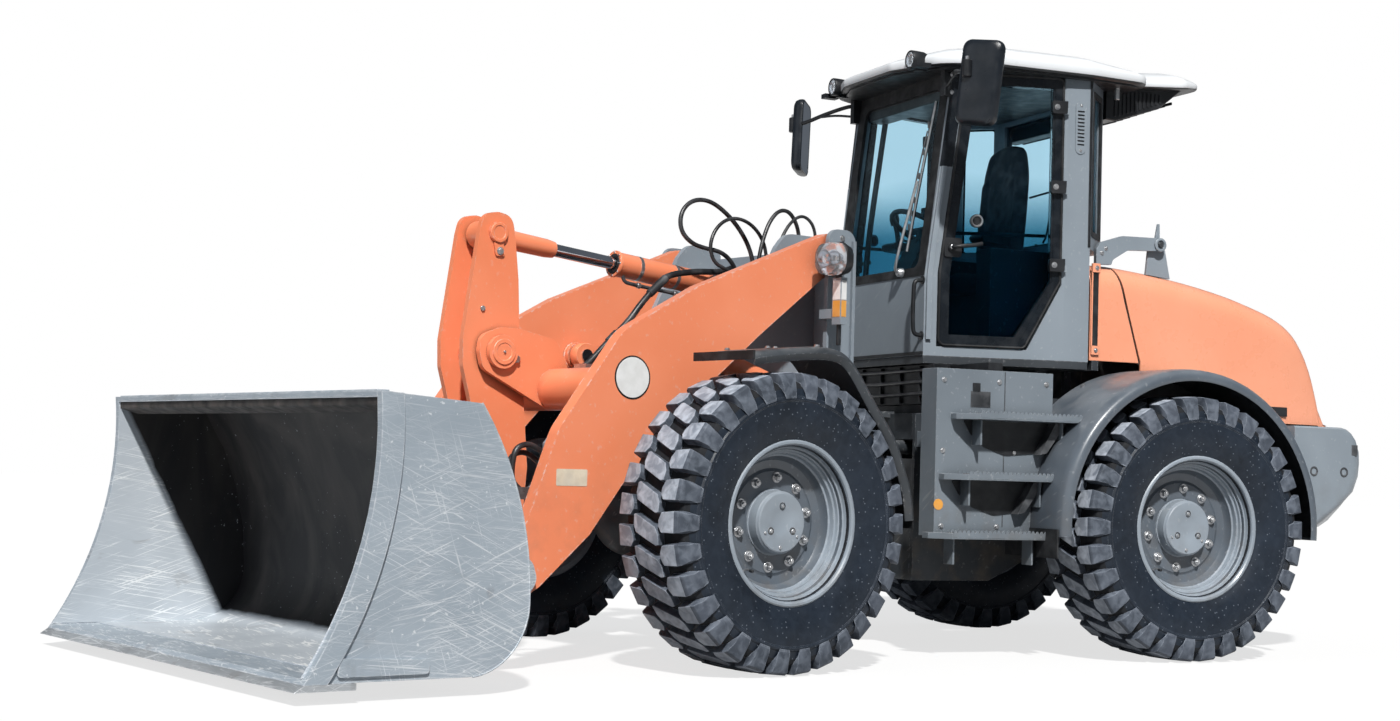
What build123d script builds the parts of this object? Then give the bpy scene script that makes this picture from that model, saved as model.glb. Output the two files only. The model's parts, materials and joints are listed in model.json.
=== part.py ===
from build123d import *
import math
import os

# Compact articulated wheel loader, millimetres, +Z up, forward along -Y, left side along +X.
# Everything is drawn round the articulation pin: x = 0, y = 0 on the pin, z = 0 on the ground.
# The front half is drawn straight ahead and then swung by STEER_REST, the way it stands.
# At the end every piece is moved so that the origin is below the middle of the whole machine.
os.makedirs("parts", exist_ok=True)

# ---- driving dimensions ----
STEER_REST = 14.3            # degrees the front half is steered to the left
WHEELBASE = 2700
TYRE_R = 655
TYRE_W = 445
TRACK_HALF = 963             # machine centre line to the middle of a tyre
FLANGE_R = 355               # rim flange
BEAD_R = 330
RIM_HALF = 190               # half width over the rim flanges
FLANGE_T = 14                # thickness of a flange
HUB_R = 145
DISC_DEPTH = 150             # wheel disc behind the outer flange
AXLE_END = 742               # outer face of the axle's final drive
PIN_GAP = 0.5                # radial play of a pin in its bore
HINGE_PIN_R = 35             # boom, bucket, lever and lift cylinder pins
LINK_PIN_R = 30
RUN_GAP = 6                  # side play between moving plates

# side view points, (y, z)
BOOM_PIVOT = (-720, 1905)
BUCKET_HINGE = (-2410, 390)
BUCKET_LINK_PIN = (-2590, 570)
LEVER_PIVOT = (-2231, 1369)
LEVER_TOP = (-2238, 1904)
LEVER_FOOT = (-2144, 645)
TILT_BASE = (-690, 1755)
LIFT_BASE = (-520, 1150)
LIFT_EYE = (-1350, 1420)
TUBE_AT = (-1935, 1215)
HOOD_PIVOT = (1500, 2120)
# plan view points, (x, y)
STEER_BASE = (185, 550)
STEER_EYE = (300, -250)

ARM_IN = 545
ARM_OUT = 615
TOWER_IN = 370
TOWER_OUT = 400
POST_IN = 632
POST_OUT = 657
LIFT_X = 470
LEVER_IN = 80
LEVER_OUT = 110
BUCKET_HALF = 1250
BUCKET_WALL = 20
HOOD_HALF = 650
SKIN = 15
BEAM_IN = 380                # rear frame's side beams
BEAM_OUT = 410
REAR_END = 2122              # rear end of the side beams
CAB_WALL = 45
FLOOR_Z = 1440
SILL_Z = 1480
CAB_TOP = 2955
FENDER_OUT = 1165
FRONT_FENDER_IN = 745
REAR_FENDER_IN = 662
FENDER_AT = (1330, 660)      # middle of the rear fender's round, (y, z)
FENDER_R = 785

nodes = {}


# ---- shape helpers ----
def block(x0, x1, y0, y1, z0, z1):
    middle = ((x0 + x1) / 2, (y0 + y1) / 2, (z0 + z1) / 2)
    return Pos(*middle) * Box(abs(x1 - x0), abs(y1 - y0), abs(z1 - z0))


def rounded(points, radii):
    """Outline in the local XY plane, with a corner radius for each point."""
    face = make_face(Polyline(*points, close=True))
    for point, radius in zip(points, radii):
        if radius > 0:
            near = face.vertices().sort_by_distance((point[0], point[1], 0))[0]
            face = fillet(near, radius)
    return face


def plate(points, x0, x1, radii=None):
    """Side view outline (y, z), solid between two x stations."""
    face = rounded(points, radii or [0] * len(points))
    low, high = min(x0, x1), max(x0, x1)
    return extrude(Plane.YZ.offset(low) * face, amount=high - low)


def slab(points, z0, z1, radii=None):
    """Plan outline (x, y), solid between two heights."""
    face = rounded(points, radii or [0] * len(points))
    return extrude(Plane.XY.offset(z0) * face, amount=z1 - z0)


def rod(start, end, radius):
    line = Line(start, end)
    return extrude(Plane(start, z_dir=line % 0) * Circle(radius), amount=line.length)


def cross_rod(at, radius, x0, x1):
    """Round bar along X through a side view point."""
    return rod((min(x0, x1), *at), (max(x0, x1), *at), radius)


def upright(at, radius, z0, z1):
    return rod((*at, z0), (*at, z1), radius)


def eye_bar(first, second, r_first, r_second, x0, x1):
    """Flat bar with two round ends, seen from the side."""
    ends = Pos(*first) * Circle(r_first) + Pos(*second) * Circle(r_second)
    outline = make_hull(ends.edges())
    low, high = min(x0, x1), max(x0, x1)
    return extrude(Plane.YZ.offset(low) * outline, amount=high - low)


def band(points, thickness, x0, x1):
    """Bent sheet following side view points, thickness laid to the left of the path."""
    shifted = []
    for i, (y, z) in enumerate(points):
        before = points[max(i - 1, 0)]
        after = points[min(i + 1, len(points) - 1)]
        first = Vector(y - before[0], z - before[1])
        second = Vector(after[0] - y, after[1] - z)
        first = first.normalized() if first.length else second.normalized()
        second = second.normalized() if second.length else first
        mid = (first + second).normalized()
        reach = thickness / max(mid.dot(first), 0.5)
        shifted.append((y - mid.Y * reach, z + mid.X * reach))
    return plate(points + shifted[::-1], x0, x1)


def both(make):
    """The same piece on the left (+1) and right (-1) side."""
    return [make(1), make(-1)]


def fuse(pieces):
    whole = pieces[0]
    for piece in pieces[1:]:
        whole = whole + piece
    return whole


def add(name, *pieces, front=False):
    solids = [solid for piece in pieces for solid in piece.solids()]
    if front:
        solids = [solid.rotate(Axis.Z, STEER_REST) for solid in solids]
    nodes[name] = solids


# ---- wheels ----
def tyre(side, y):
    half = TYRE_W / 2
    lip = RIM_HALF - FLANGE_T
    section = [(BEAD_R, -lip), (FLANGE_R + 6, -lip), (TYRE_R - 190, -half), (TYRE_R - 75, -half),
               (TYRE_R, -half + 40), (TYRE_R, half - 40), (TYRE_R - 75, half), (TYRE_R - 190, half),
               (FLANGE_R + 6, lip), (BEAD_R, lip)]
    face = make_face(Polyline(*section, close=True))
    ring = revolve(Plane.XY * face, Axis.Y)
    return Pos(side * TRACK_HALF, y, TYRE_R) * Rot(0, 0, 90) * ring


def rim(side, y):
    flange, barrel, disc = RIM_HALF, RIM_HALF - FLANGE_T, RIM_HALF - DISC_DEPTH
    well = BEAD_R - 44
    section = [(BEAD_R - 0.3, -barrel), (FLANGE_R, -barrel), (FLANGE_R, -flange), (BEAD_R - 14, -flange),
               (BEAD_R - 14, -70), (well - 14, -50), (well - 14, disc - 18), (60, disc - 18), (60, disc),
               (well - 14, disc), (well - 14, 96), (BEAD_R - 14, 112), (BEAD_R - 14, flange), (FLANGE_R, flange),
               (FLANGE_R, barrel), (BEAD_R - 0.3, barrel), (BEAD_R - 0.3, 100), (well, 80), (well, -40),
               (BEAD_R - 0.3, -60)]
    ring = revolve(Plane.XY * make_face(Polyline(*section, close=True)), Axis.Y)
    inner = -(TRACK_HALF - AXLE_END) + PIN_GAP
    cap = [(0, inner), (HUB_R - 5, inner), (HUB_R - 5, disc - 18), (60, disc - 18), (60, disc), (HUB_R, disc),
           (HUB_R, flange - 80), (HUB_R - 14, flange - 68), (0, flange - 68)]
    hub = revolve(Plane.XY * make_face(Polyline(*cap, close=True)), Axis.Y)
    turn = Rot(0, 0, -90 * side)
    return [Pos(side * TRACK_HALF, y, TYRE_R) * turn * piece for piece in (ring, hub)]


for end, y, swung in (("front", -WHEELBASE / 2, True), ("rear", WHEELBASE / 2, False)):
    for hand, side in (("left", 1), ("right", -1)):
        add(f"tyre_{end}_{hand}", tyre(side, y), front=swung)
        add(f"rim_{end}_{hand}", fuse(rim(side, y)), front=swung)


# ---- axles with their drive shafts ----
def axle(y, toward, shaft_end):
    """toward is +1 when the drive shaft leaves the axle in +Y, else -1."""
    tube = cross_rod((y, TYRE_R), 95, -AXLE_END + 60, AXLE_END - 60)
    ends = [cross_rod((y, TYRE_R), 150, side * (AXLE_END - 90), side * AXLE_END) for side in (1, -1)]
    ball = Pos(0, y, TYRE_R) * Sphere(205)
    nose = rod((0, y, TYRE_R), (0, y + toward * 330, TYRE_R), 75)
    pads = [block(side * 290, side * BEAM_OUT, y - 90, y + 90, TYRE_R, SEAT_Z) for side in (1, -1)]
    shaft = rod((0, y + toward * 330, TYRE_R), (0, shaft_end, TYRE_R), 38)
    return fuse([tube, ball, nose, shaft] + ends + pads)


SEAT_Z = 790                 # underside of both frames where the axles bolt on
CROSS_R = 56                 # ball round the drive shafts' joint, under the articulation pin
add("front_axle", axle(-WHEELBASE / 2, 1, -CROSS_R - RUN_GAP), front=True)
add("rear_axle", axle(WHEELBASE / 2, -1, CROSS_R / 2) + Pos(0, 0, TYRE_R) * Sphere(CROSS_R))

# ---- articulation: fork plates on the rear half, lugs on the front half ----
LOWER_JOINT = 430            # middle height of the lower pin joint
UPPER_JOINT = 1130
LUG = 35                     # half thickness of a front lug
FORK = 30                    # thickness of a fork plate
PIN_R = 40
FORK_LOW = UPPER_JOINT - LUG - RUN_GAP - FORK
STEER_Z = 1018               # height of the steering cylinders
STEER_LUGS = (975, 1041)     # undersides of the plates above and below a cylinder's eye


def fork_plate(z0, z1):
    outline = [(-160, 190), (-95, -20), (-60, -90), (60, -90), (95, -20), (160, 190)]
    return slab(outline, z0, z1, [0, 40, 40, 40, 40, 0])


def fork(z):
    near = z + LUG + RUN_GAP
    far = z - LUG - RUN_GAP
    pin = upright((0, 0), PIN_R, far - FORK - 20, near + FORK + 20)
    return fork_plate(near, near + FORK) + fork_plate(far - FORK, far) + pin


def lug(z):
    outline = [(-260, -340), (-110, -60), (-75, 75), (75, 75), (110, -60), (260, -340)]
    body = slab(outline, z - LUG, z + LUG, [0, 60, 60, 60, 60, 0])
    return body - upright((0, 0), PIN_R + PIN_GAP, z - LUG - 1, z + LUG + 1)


# ---- rear frame ----
BULKHEAD = (170, 200)        # front and back face of the plate that carries the forks
BARREL_ROOM = 8              # hollow in each beam's inner face, beside the steering cylinders
beam = [(BULKHEAD[0], 350), (BULKHEAD[0], 1190), (980, 1190), (1150, 1130), (REAR_END, 1130), (REAR_END, 640),
        (1640, 620), (1560, SEAT_Z), (1140, SEAT_Z), (1050, 560), (620, 350)]


def side_beam(s):
    hollow = block(s * (BEAM_IN - 1), s * (BEAM_IN + BARREL_ROOM), BULKHEAD[0] - 1, 240, STEER_Z - 58, STEER_Z + 40)
    return plate(beam, s * BEAM_IN, s * BEAM_OUT) - hollow


bulkhead = block(-BEAM_IN, BEAM_IN, *BULKHEAD, 350, 1190) - rod((0, 160, TYRE_R), (0, 210, TYRE_R), 90)
for side in (1, -1):
    bulkhead -= block(side * 105, side * BEAM_IN, BULKHEAD[0] - 5, BULKHEAD[1] + 5, STEER_Z - 58, FORK_LOW - 1)
ties = [block(-BEAM_IN, BEAM_IN, 620, 660, 900, 1150), block(-BEAM_IN, BEAM_IN, REAR_END - 40, REAR_END, 700, 1130)]
HOOD_FOOT = 1490             # underside of the fixed panel ahead of the hood
CAB_BEAM = 90                # width of the two beams under the cab
CAB_BEAM_TOP = 1290
cab_beams = []
for y in (250, 860):
    feet = [upright((s * 400, y + CAB_BEAM / 2), 50, CAB_BEAM_TOP, FLOOR_Z) for s in (1, -1)]
    cab_beams.append(fuse([block(-560, 560, y, y + CAB_BEAM, 1190, CAB_BEAM_TOP)] + feet))


def hood_post(s):
    """Post on the beam with a short arm under the fixed panel."""
    post = block(s * BEAM_IN, s * BEAM_OUT, 1060, 1100, 1130, HOOD_FOOT)
    return post + block(s * BEAM_IN, s * HOOD_HALF, 1060, 1100, HOOD_FOOT - 50, HOOD_FOOT)


def steer_clevis(s):
    """Two plates on the beam's inner face with the steering cylinder's pin."""
    plates = [block(s * 150, s * BEAM_IN, STEER_BASE[1] - 34, 620, z, z + 20) for z in STEER_LUGS]
    pin = upright((s * STEER_BASE[0], STEER_BASE[1]), 22, STEER_LUGS[0] - 10, STEER_LUGS[1] + 30)
    return fuse(plates + [pin])


neck = fuse([bulkhead, fork(LOWER_JOINT), fork(UPPER_JOINT)])
add("rear_frame", *both(lambda s: side_beam(s) + hood_post(s)), neck, *ties, *cab_beams, *both(steer_clevis))

# ---- front frame: tower plates, posts, webs, pins ----
HOSE_CLAMP_Z = 1900
VALVE_TOP = 1660
tower = [(-600, 2020), (-790, 2020), (-850, 1950), (-1080, 1500), (-1500, 1110), (-1620, 980), (-1620, SEAT_Z),
         (-1130, SEAT_Z), (-1000, 560), (-900, 350), (-330, 350), (-330, 1230), (-575, 1420), (-575, 1980)]
POST_PIN = POST_OUT + 14     # the boom pin's outer end
LIFT_PIN = LIFT_X + 68       # outer end of the lift cylinder's pin


def tower_plate(s):
    """Tower plate with the boom pin as far as the post, and the lift cylinder's pin."""
    body = plate(tower, s * TOWER_IN, s * TOWER_OUT, [40, 90, 60] + [0] * 11)
    boom_pin = cross_rod(BOOM_PIVOT, HINGE_PIN_R, s * TOWER_IN, s * POST_IN)
    return body + boom_pin + cross_rod(LIFT_BASE, HINGE_PIN_R, s * TOWER_IN, s * LIFT_PIN)


def post_plate(s):
    body = plate([(-575, 2030), (-745, 2030), (-745, 1150), (-575, 1150)], s * POST_IN, s * POST_OUT, [60, 60, 20, 0])
    return body + cross_rod(BOOM_PIVOT, HINGE_PIN_R, s * POST_OUT, s * POST_PIN)


WEB = (-600, -575, 1450, 1960)          # cross plate behind the boom pivots
web_outer = both(lambda s: block(s * TOWER_OUT, s * POST_IN, *WEB))
front_wall = block(-TOWER_IN, TOWER_IN, -1080, -1050, SEAT_Z + 60, 1400)
rear_wall = block(-TOWER_IN, TOWER_IN, -360, -330, 350, 1230) - rod((0, -370, TYRE_R), (0, -320, TYRE_R), 90)
axle_seat = block(-TOWER_IN, TOWER_IN, -1620, -1560, SEAT_Z, 980)
shelf = block(-TOWER_IN, TOWER_IN, -1050, -360, 880, 900)
tilt_ears = both(lambda s: eye_bar(TILT_BASE, (-600, TILT_BASE[1]), 65, 95, s * 72, s * 100)
                 - block(s * 60, s * 110, -600, -400, 1600, 1900))
tilt_pin = cross_rod(TILT_BASE, 30, -108, 108)
eye_lugs = [slab([(s * 245, -340), (s * 245, -215), (s * 345, -215), (s * 345, -340)], z, z + 20)
            for s in (1, -1) for z in STEER_LUGS]
hose_clamp = block(195, 305, -575, -535, HOSE_CLAMP_Z - 60, HOSE_CLAMP_Z)
web_inner = fuse([block(-TOWER_IN, TOWER_IN, *WEB)] + tilt_ears + [tilt_pin, hose_clamp])
core = fuse([front_wall, rear_wall, shelf, lug(LOWER_JOINT), lug(UPPER_JOINT)] + eye_lugs)
add("front_frame", *both(tower_plate), *both(post_plate), web_inner, *web_outer, core, axle_seat, front=True)
add("valve_block", block(-TOWER_IN, TOWER_IN, -940, -720, VALVE_TOP - 100, VALVE_TOP), front=True)


# ---- steering cylinders, barrel on the rear half, rod eye on the front half ----
def swung_plan(point):
    turn = math.radians(STEER_REST)
    x, y = point
    return (x * math.cos(turn) - y * math.sin(turn), x * math.sin(turn) + y * math.cos(turn))


STEER_CLOSED = 575           # pin to pin length at full lock
STEER_BORE = 88              # where the bore starts, from the base pin
for hand, side in (("left", 1), ("right", -1)):
    base = Vector(side * STEER_BASE[0], STEER_BASE[1], STEER_Z)
    eye = Vector(*swung_plan((side * STEER_EYE[0], STEER_EYE[1])), STEER_Z)
    along = (eye - base).normalized()
    head = base + along * 485
    barrel = rod(base + along * 85, head, 36) + rod(base, base + along * 90, 17)
    barrel += upright((base.X, base.Y), 36, STEER_Z - 20, STEER_Z + 20)
    barrel -= upright((base.X, base.Y), 22 + PIN_GAP, STEER_Z - 30, STEER_Z + 30)
    barrel -= rod(base + along * STEER_BORE, head + along, 19 + PIN_GAP)
    inside = STEER_BORE + 6 + (eye - base).length - STEER_CLOSED
    piston = rod(base + along * inside, eye - along * 20, 19)
    piston += upright((eye.X, eye.Y), 34, STEER_Z - 17, STEER_Z + 17)
    add(f"steer_barrel_{hand}", barrel)
    add(f"steer_rod_{hand}", piston)

# ---- boom ----
arm = [(-610, 1905), (-640, 2000), (-720, 2010), (-1480, 1700), (-1890, 1475), (-2215, 1030), (-2360, 640),
       (-2505, 430), (-2480, 320), (-2400, 295), (-2290, 360), (-2040, 580), (-1850, 830), (-1560, 1130),
       (-1120, 1500), (-740, 1795), (-640, 1810)]
arm_radii = [30, 50, 40, 0, 260, 200, 0, 70, 60, 60, 0, 0, 120, 120, 0, 40, 50]
LUG_FACE = LIFT_X + 47       # outer side of the rod eye's pin


def boom_arm(side):
    body = plate(arm, side * ARM_IN, side * ARM_OUT, arm_radii)
    for pivot in (BOOM_PIVOT, BUCKET_HINGE):
        body -= cross_rod(pivot, HINGE_PIN_R + PIN_GAP, side * (ARM_IN - 5), side * (ARM_OUT + 5))
    return body + cross_rod(LIFT_EYE, 62, side * LUG_FACE, side * ARM_IN)


add("boom_arms", *both(boom_arm), front=True)

bracket = [(-2231, 1479), (-2330, 1440), (-2341, 1369), (-2320, 1290), (-1985, 1130), (-1880, 1180), (-1860, 1300),
           (-1930, 1440), (-2140, 1480)]
brackets = both(lambda s: plate(bracket, s * 126, s * 156, [40, 60, 60, 60, 0, 0, 0, 60, 60])
                - cross_rod(LEVER_PIVOT, HINGE_PIN_R + PIN_GAP, s * 120, s * 160))
tube = cross_rod(TUBE_AT, 95, -ARM_IN, ARM_IN)
add("boom_cross_tube", fuse([tube] + brackets), front=True)

# ---- lever, its pin, the link and its pin ----
lever = [(-2146, 1904), (-2165, 1985), (-2238, 1998), (-2312, 1985), (-2332, 1904), (-2400, 1420), (-2395, 1300),
         (-2235, 760), (-2232, 645), (-2200, 575), (-2144, 557), (-2085, 580), (-2056, 645), (-2040, 860),
         (-2085, 1300), (-2105, 1450), (-2120, 1700)]
lever_radii = [40, 60, 60, 60, 40, 60, 60, 60, 40, 50, 50, 50, 40, 60, 60, 60, 60]


def lever_plate(side):
    body = plate(lever, side * LEVER_IN, side * LEVER_OUT, lever_radii)
    body += cross_rod(LEVER_TOP, 48, side * LEVER_OUT, side * (LEVER_OUT + 9))
    return body + cross_rod(LEVER_FOOT, 48, side * LEVER_OUT, side * (LEVER_OUT + 9))


lever_hub = cross_rod(LEVER_PIVOT, 75, -LEVER_OUT, LEVER_OUT)
lever_hole = cross_rod(LEVER_PIVOT, HINGE_PIN_R + PIN_GAP, -LEVER_OUT - 5, LEVER_OUT + 5)
add("lever", fuse(both(lever_plate) + [lever_hub]) - lever_hole, front=True)


def headed_pin(at, radius, bosses, boss_r, heads, head_r):
    """Pin with a pair of bosses and a pair of end plates, each as its inner and outer x."""
    piece = cross_rod(at, radius, -heads[1], heads[1])
    for side in (1, -1):
        piece += cross_rod(at, boss_r, side * bosses[0], side * bosses[1])
        piece += cross_rod(at, head_r, side * heads[0], side * heads[1])
    return piece


add("lever_pin", headed_pin(LEVER_PIVOT, HINGE_PIN_R, (112, 124), 60, (158, 184), 75), front=True)

link = eye_bar(BUCKET_LINK_PIN, LEVER_FOOT, 62, 62, -45, 45)
link += cross_rod(LEVER_FOOT, 38, -LEVER_IN + 8, LEVER_IN - 8)
link -= cross_rod(BUCKET_LINK_PIN, LINK_PIN_R + PIN_GAP, -80, 80)
add("tilt_link", link, front=True)
add("link_pin", headed_pin(BUCKET_LINK_PIN, LINK_PIN_R, (47, 83), 58, (117, 140), 75), front=True)

# ---- bucket ----
FLOOR_FRONT = -3690
HEEL_AT = (-3015, 345)       # centre of the heel's round
HEEL_R = 270
BACK_R = 1300                # radius of the back wall
MOUTH_TOP = (-3425, 1128)
MOUTH_MID = (-3447, 660)
BACK_TOP = 1100


def bucket_section(inset):
    """Closed outline of the bucket's inside (inset > 0) or outside (inset = 0), by its mouth."""
    bottom = HEEL_AT[1] - HEEL_R + inset
    heel = HEEL_R - inset
    back = BACK_R - inset
    back_at = (HEEL_AT[0] + HEEL_R - BACK_R, HEEL_AT[1])
    low = 45 * math.pi / 180
    top_z = BACK_TOP - inset
    rise = math.asin((top_z - back_at[1]) / back)
    start = (FLOOR_FRONT, bottom)
    turn = (HEEL_AT[0], bottom)
    heel_mid = (HEEL_AT[0] + heel * math.cos(low), HEEL_AT[1] - heel * math.sin(low))
    heel_end = (HEEL_AT[0] + heel, HEEL_AT[1])
    back_mid = (back_at[0] + back * math.cos(rise / 2), back_at[1] + back * math.sin(rise / 2))
    back_end = (back_at[0] + back * math.cos(rise), top_z)
    lip = (MOUTH_TOP[0], MOUTH_TOP[1] - inset)
    edges = [Line(start, turn), ThreePointArc(turn, heel_mid, heel_end), ThreePointArc(heel_end, back_mid, back_end),
             Line(back_end, lip), ThreePointArc(lip, MOUTH_MID, start)]
    return make_face(edges)


def spread(face, x0, x1):
    return extrude(Plane.YZ.offset(x0) * face, amount=x1 - x0)


SIDE_OUT = BUCKET_HALF - 15  # outer face of the side plates
SIDE_IN = SIDE_OUT - BUCKET_WALL
shell = spread(bucket_section(0), -SIDE_IN, SIDE_IN)
cavity = spread(bucket_section(BUCKET_WALL), -SIDE_IN, SIDE_IN)
mouth = spread(make_face([Line((FLOOR_FRONT - 200, 95), (FLOOR_FRONT, 95)),
                          ThreePointArc((FLOOR_FRONT, 95), MOUTH_MID, (MOUTH_TOP[0], MOUTH_TOP[1] - BUCKET_WALL)),
                          Line((MOUTH_TOP[0], MOUTH_TOP[1] - BUCKET_WALL), (FLOOR_FRONT - 200, 1108)),
                          Line((FLOOR_FRONT - 200, 1108), (FLOOR_FRONT - 200, 95))]),
               -SIDE_IN, SIDE_IN)
strip_face = bucket_section(0) - Pos(95, 0) * bucket_section(0)


def bucket_side(side):
    """Side plate with the wear strip along its mouth."""
    low, high = sorted((side * SIDE_IN, side * SIDE_OUT))
    near, far = sorted((side * (SIDE_OUT - 1), side * BUCKET_HALF))
    return spread(bucket_section(0), low, high) + spread(strip_face, near, far)


ear = [(BUCKET_HINGE[0] + 85, 390), (BUCKET_HINGE[0] + 60, 465), (-2600, 640), (-2850, 760), (-2900, 300),
       (-2850, 180), (BUCKET_HINGE[0] + 20, 300)]
ear_radii = [60, 60, 60, 0, 0, 0, 60]
ears = [plate(ear, x, x + 30, ear_radii) for x in (-655, -535, 505, 625)]
link_ear = [(-2525, 570), (-2540, 635), (-2600, 650), (-2860, 760), (-2860, 400), (-2600, 490), (-2540, 505)]
ears += [plate(link_ear, x, x + 30, [40, 30, 40, 0, 0, 40, 30]) for x in (-115, 85)]
hinge_bores = cross_rod(BUCKET_HINGE, HINGE_PIN_R + PIN_GAP, -700, 700)
link_bores = cross_rod(BUCKET_LINK_PIN, LINK_PIN_R + PIN_GAP, -130, 130)
add("bucket", shell - cavity - mouth, front=True)
add("bucket_sides", *both(bucket_side), front=True)
add("bucket_ears", *[ear - shell - hinge_bores - link_bores for ear in ears], front=True)
add("bucket_pins", *both(lambda s: cross_rod(BUCKET_HINGE, HINGE_PIN_R, s * 494, s * 666)), front=True)
edge = plate([(-3728, 50), (-3690, 75), (-3480, 75), (-3480, 50)], -BUCKET_HALF, BUCKET_HALF)
add("cutting_edge", edge, front=True)


# ---- tilt and lift cylinders ----
def cylinder(base, eye, x, barrel_r, rod_r, barrel_len, rod_from, base_half, base_pin, eye_half, eye_pin, collar):
    """Barrel with its base eye, and rod with its pin, in the plane x."""
    start, end = Vector(x, *base), Vector(x, *eye)
    along = (end - start).normalized()
    head = start + along * barrel_len
    barrel = rod(start, head, barrel_r) + cross_rod(base, barrel_r + 8, x - base_half, x + base_half)
    barrel += rod(head - along * collar, head, barrel_r + 9)
    barrel -= cross_rod(base, base_pin + PIN_GAP, x - base_half - 5, x + base_half + 5)
    barrel -= rod(start + along * (barrel_r + 20), head + along, rod_r + PIN_GAP)
    piston = rod(start + along * rod_from, end, rod_r)
    piston += cross_rod(eye, eye_pin + 24, x - eye_half + 10, x + eye_half - 10)
    piston += cross_rod(eye, eye_pin, x - eye_half, x + eye_half)
    return barrel, piston


tilt_barrel, tilt_rod = cylinder(TILT_BASE, LEVER_TOP, 0, 55, 30, 1030, 200, 64, 30, 72, 34, 60)
add("tilt_barrel", tilt_barrel, front=True)
add("tilt_rod", tilt_rod, front=True)
for hand, side in (("left", 1), ("right", -1)):
    lift_barrel, lift_rod = cylinder(LIFT_BASE, LIFT_EYE, side * LIFT_X, 52, 32, 780, 92, 58, 35, 38, 32, 50)
    add(f"lift_barrel_{hand}", lift_barrel, front=True)
    add(f"lift_rod_{hand}", lift_rod, front=True)

# ---- front fenders and headlights ----
fender_path = [(-1600, 1375), (-1200, 1425), (-1060, 1400), (-980, 1330), (-745, 1050), (-625, 810), (-600, 660)]


def front_fender(side):
    sheet = band(fender_path, 18, side * FRONT_FENDER_IN, side * FENDER_OUT)
    arm_to_post = block(side * POST_OUT, side * (FRONT_FENDER_IN + 25), -735, -700, 1000, 1260)
    return sheet + arm_to_post


add("front_fenders", *both(front_fender), front=True)


def headlight(side):
    lamp = block(side * 680, side * 860, -870, -740, 1790, 1950)
    stem = block(side * (POST_OUT - 20), side * 680, -790, -745, 1820, 1870)
    marker = block(side * 700, side * 780, -790, -740, 1560, 1790)
    foot = block(side * (POST_OUT - 20), side * 700, -780, -745, 1600, 1640)
    return fuse([lamp, stem, marker, foot])


add("headlights", *both(headlight), front=True)

# ---- cab ----
NOSE = (470, 170)            # front corner of the cab in plan, left side
DOOR_REAR = (645, 890)
PILLAR_REAR = (657, 1030)
TAIL = (480, 1220)
REAR_SHELF = 2060            # above this the cab reaches back to its tail
LEAN = 0.12                  # lean of the windscreen, mm of y for each mm of z
LEAN_FROM = 1900


def cab_plan(inset):
    nose = (NOSE[0] - inset, NOSE[1] + inset)
    door = (DOOR_REAR[0] - inset, DOOR_REAR[1])
    pillar = (PILLAR_REAR[0] - inset, PILLAR_REAR[1] - inset * 0.4)
    tail = (TAIL[0] - inset * 0.5, TAIL[1] - inset)
    left = [nose, door, pillar, tail]
    return left + [(-x, y) for x, y in left[::-1]]


def lean_cut(inset):
    """What lies in front of the leaning windscreen's plane."""
    foot = NOSE[1] + inset
    return plate([(foot, LEAN_FROM), (foot - 400, LEAN_FROM), (foot - 400, CAB_TOP + 50),
                  (foot + LEAN * (CAB_TOP + 50 - LEAN_FROM), CAB_TOP + 50)], -700, 700)


def on_wall(start, end, a, b, z0, z1, depth0, depth1):
    """Slab along a wall of the plan, from a to b along it, depth measured inward from its outer face."""
    origin = Vector(*start, 0)
    along = (Vector(*end, 0) - origin).normalized()
    inward = Vector(0, 0, 1).cross(along)
    if inward.X * origin.X > 0:
        inward = -inward
    corners = [origin + along * s + inward * d for s, d in ((a, depth0), (b, depth0), (b, depth1), (a, depth1))]
    return slab([(c.X, c.Y) for c in corners], z0, z1)


def door_shape(side, grow, depth0, depth1):
    """Door leaf outline with its cut-off lower rear corner, grown by grow on all sides."""
    start, end = (side * NOSE[0], NOSE[1]), (side * DOOR_REAR[0], DOOR_REAR[1])
    low, high = 1535 - grow, 2925 + grow
    leaf = on_wall(start, end, 75 - grow, 715 + grow, low, high, depth0, depth1)
    corner = plate([(690 + grow, low - 1), (910, low - 1), (910, 1900), (872 + grow, 1880)], side * 400, side * 800)
    return leaf - corner - lean_cut(73 - grow)


HINGE_ALONG = 723            # hinge line, from the cab's nose along the door wall
HINGE_OFF = 14               # hinge line outside the wall
HINGE_HEIGHTS = (1930, 2330, 2740)
KNUCKLE = 34                 # height of one half of a hinge
HINGE_R = 12


def hinge_line(side):
    origin = Vector(side * NOSE[0], NOSE[1])
    along = (Vector(side * DOOR_REAR[0], DOOR_REAR[1]) - origin).normalized()
    outward = Vector(side * along.Y, -side * along.X)
    return origin + along * HINGE_ALONG + outward * HINGE_OFF


def hinge_piece(side, z, reach):
    """Knuckle on the hinge line with a strap to the wall at reach along it, one knuckle high."""
    at = hinge_line(side)
    wall = ((side * NOSE[0], NOSE[1]), (side * DOOR_REAR[0], DOOR_REAR[1]))
    near, far = sorted((reach, HINGE_ALONG))
    strap = on_wall(*wall, near, far, z + 0.5, z + KNUCKLE - 0.5, -HINGE_OFF - 6, 2 if reach < HINGE_ALONG else 8)
    return upright((at.X, at.Y), HINGE_R, z + 0.5, z + KNUCKLE - 0.5) + strap


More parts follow.
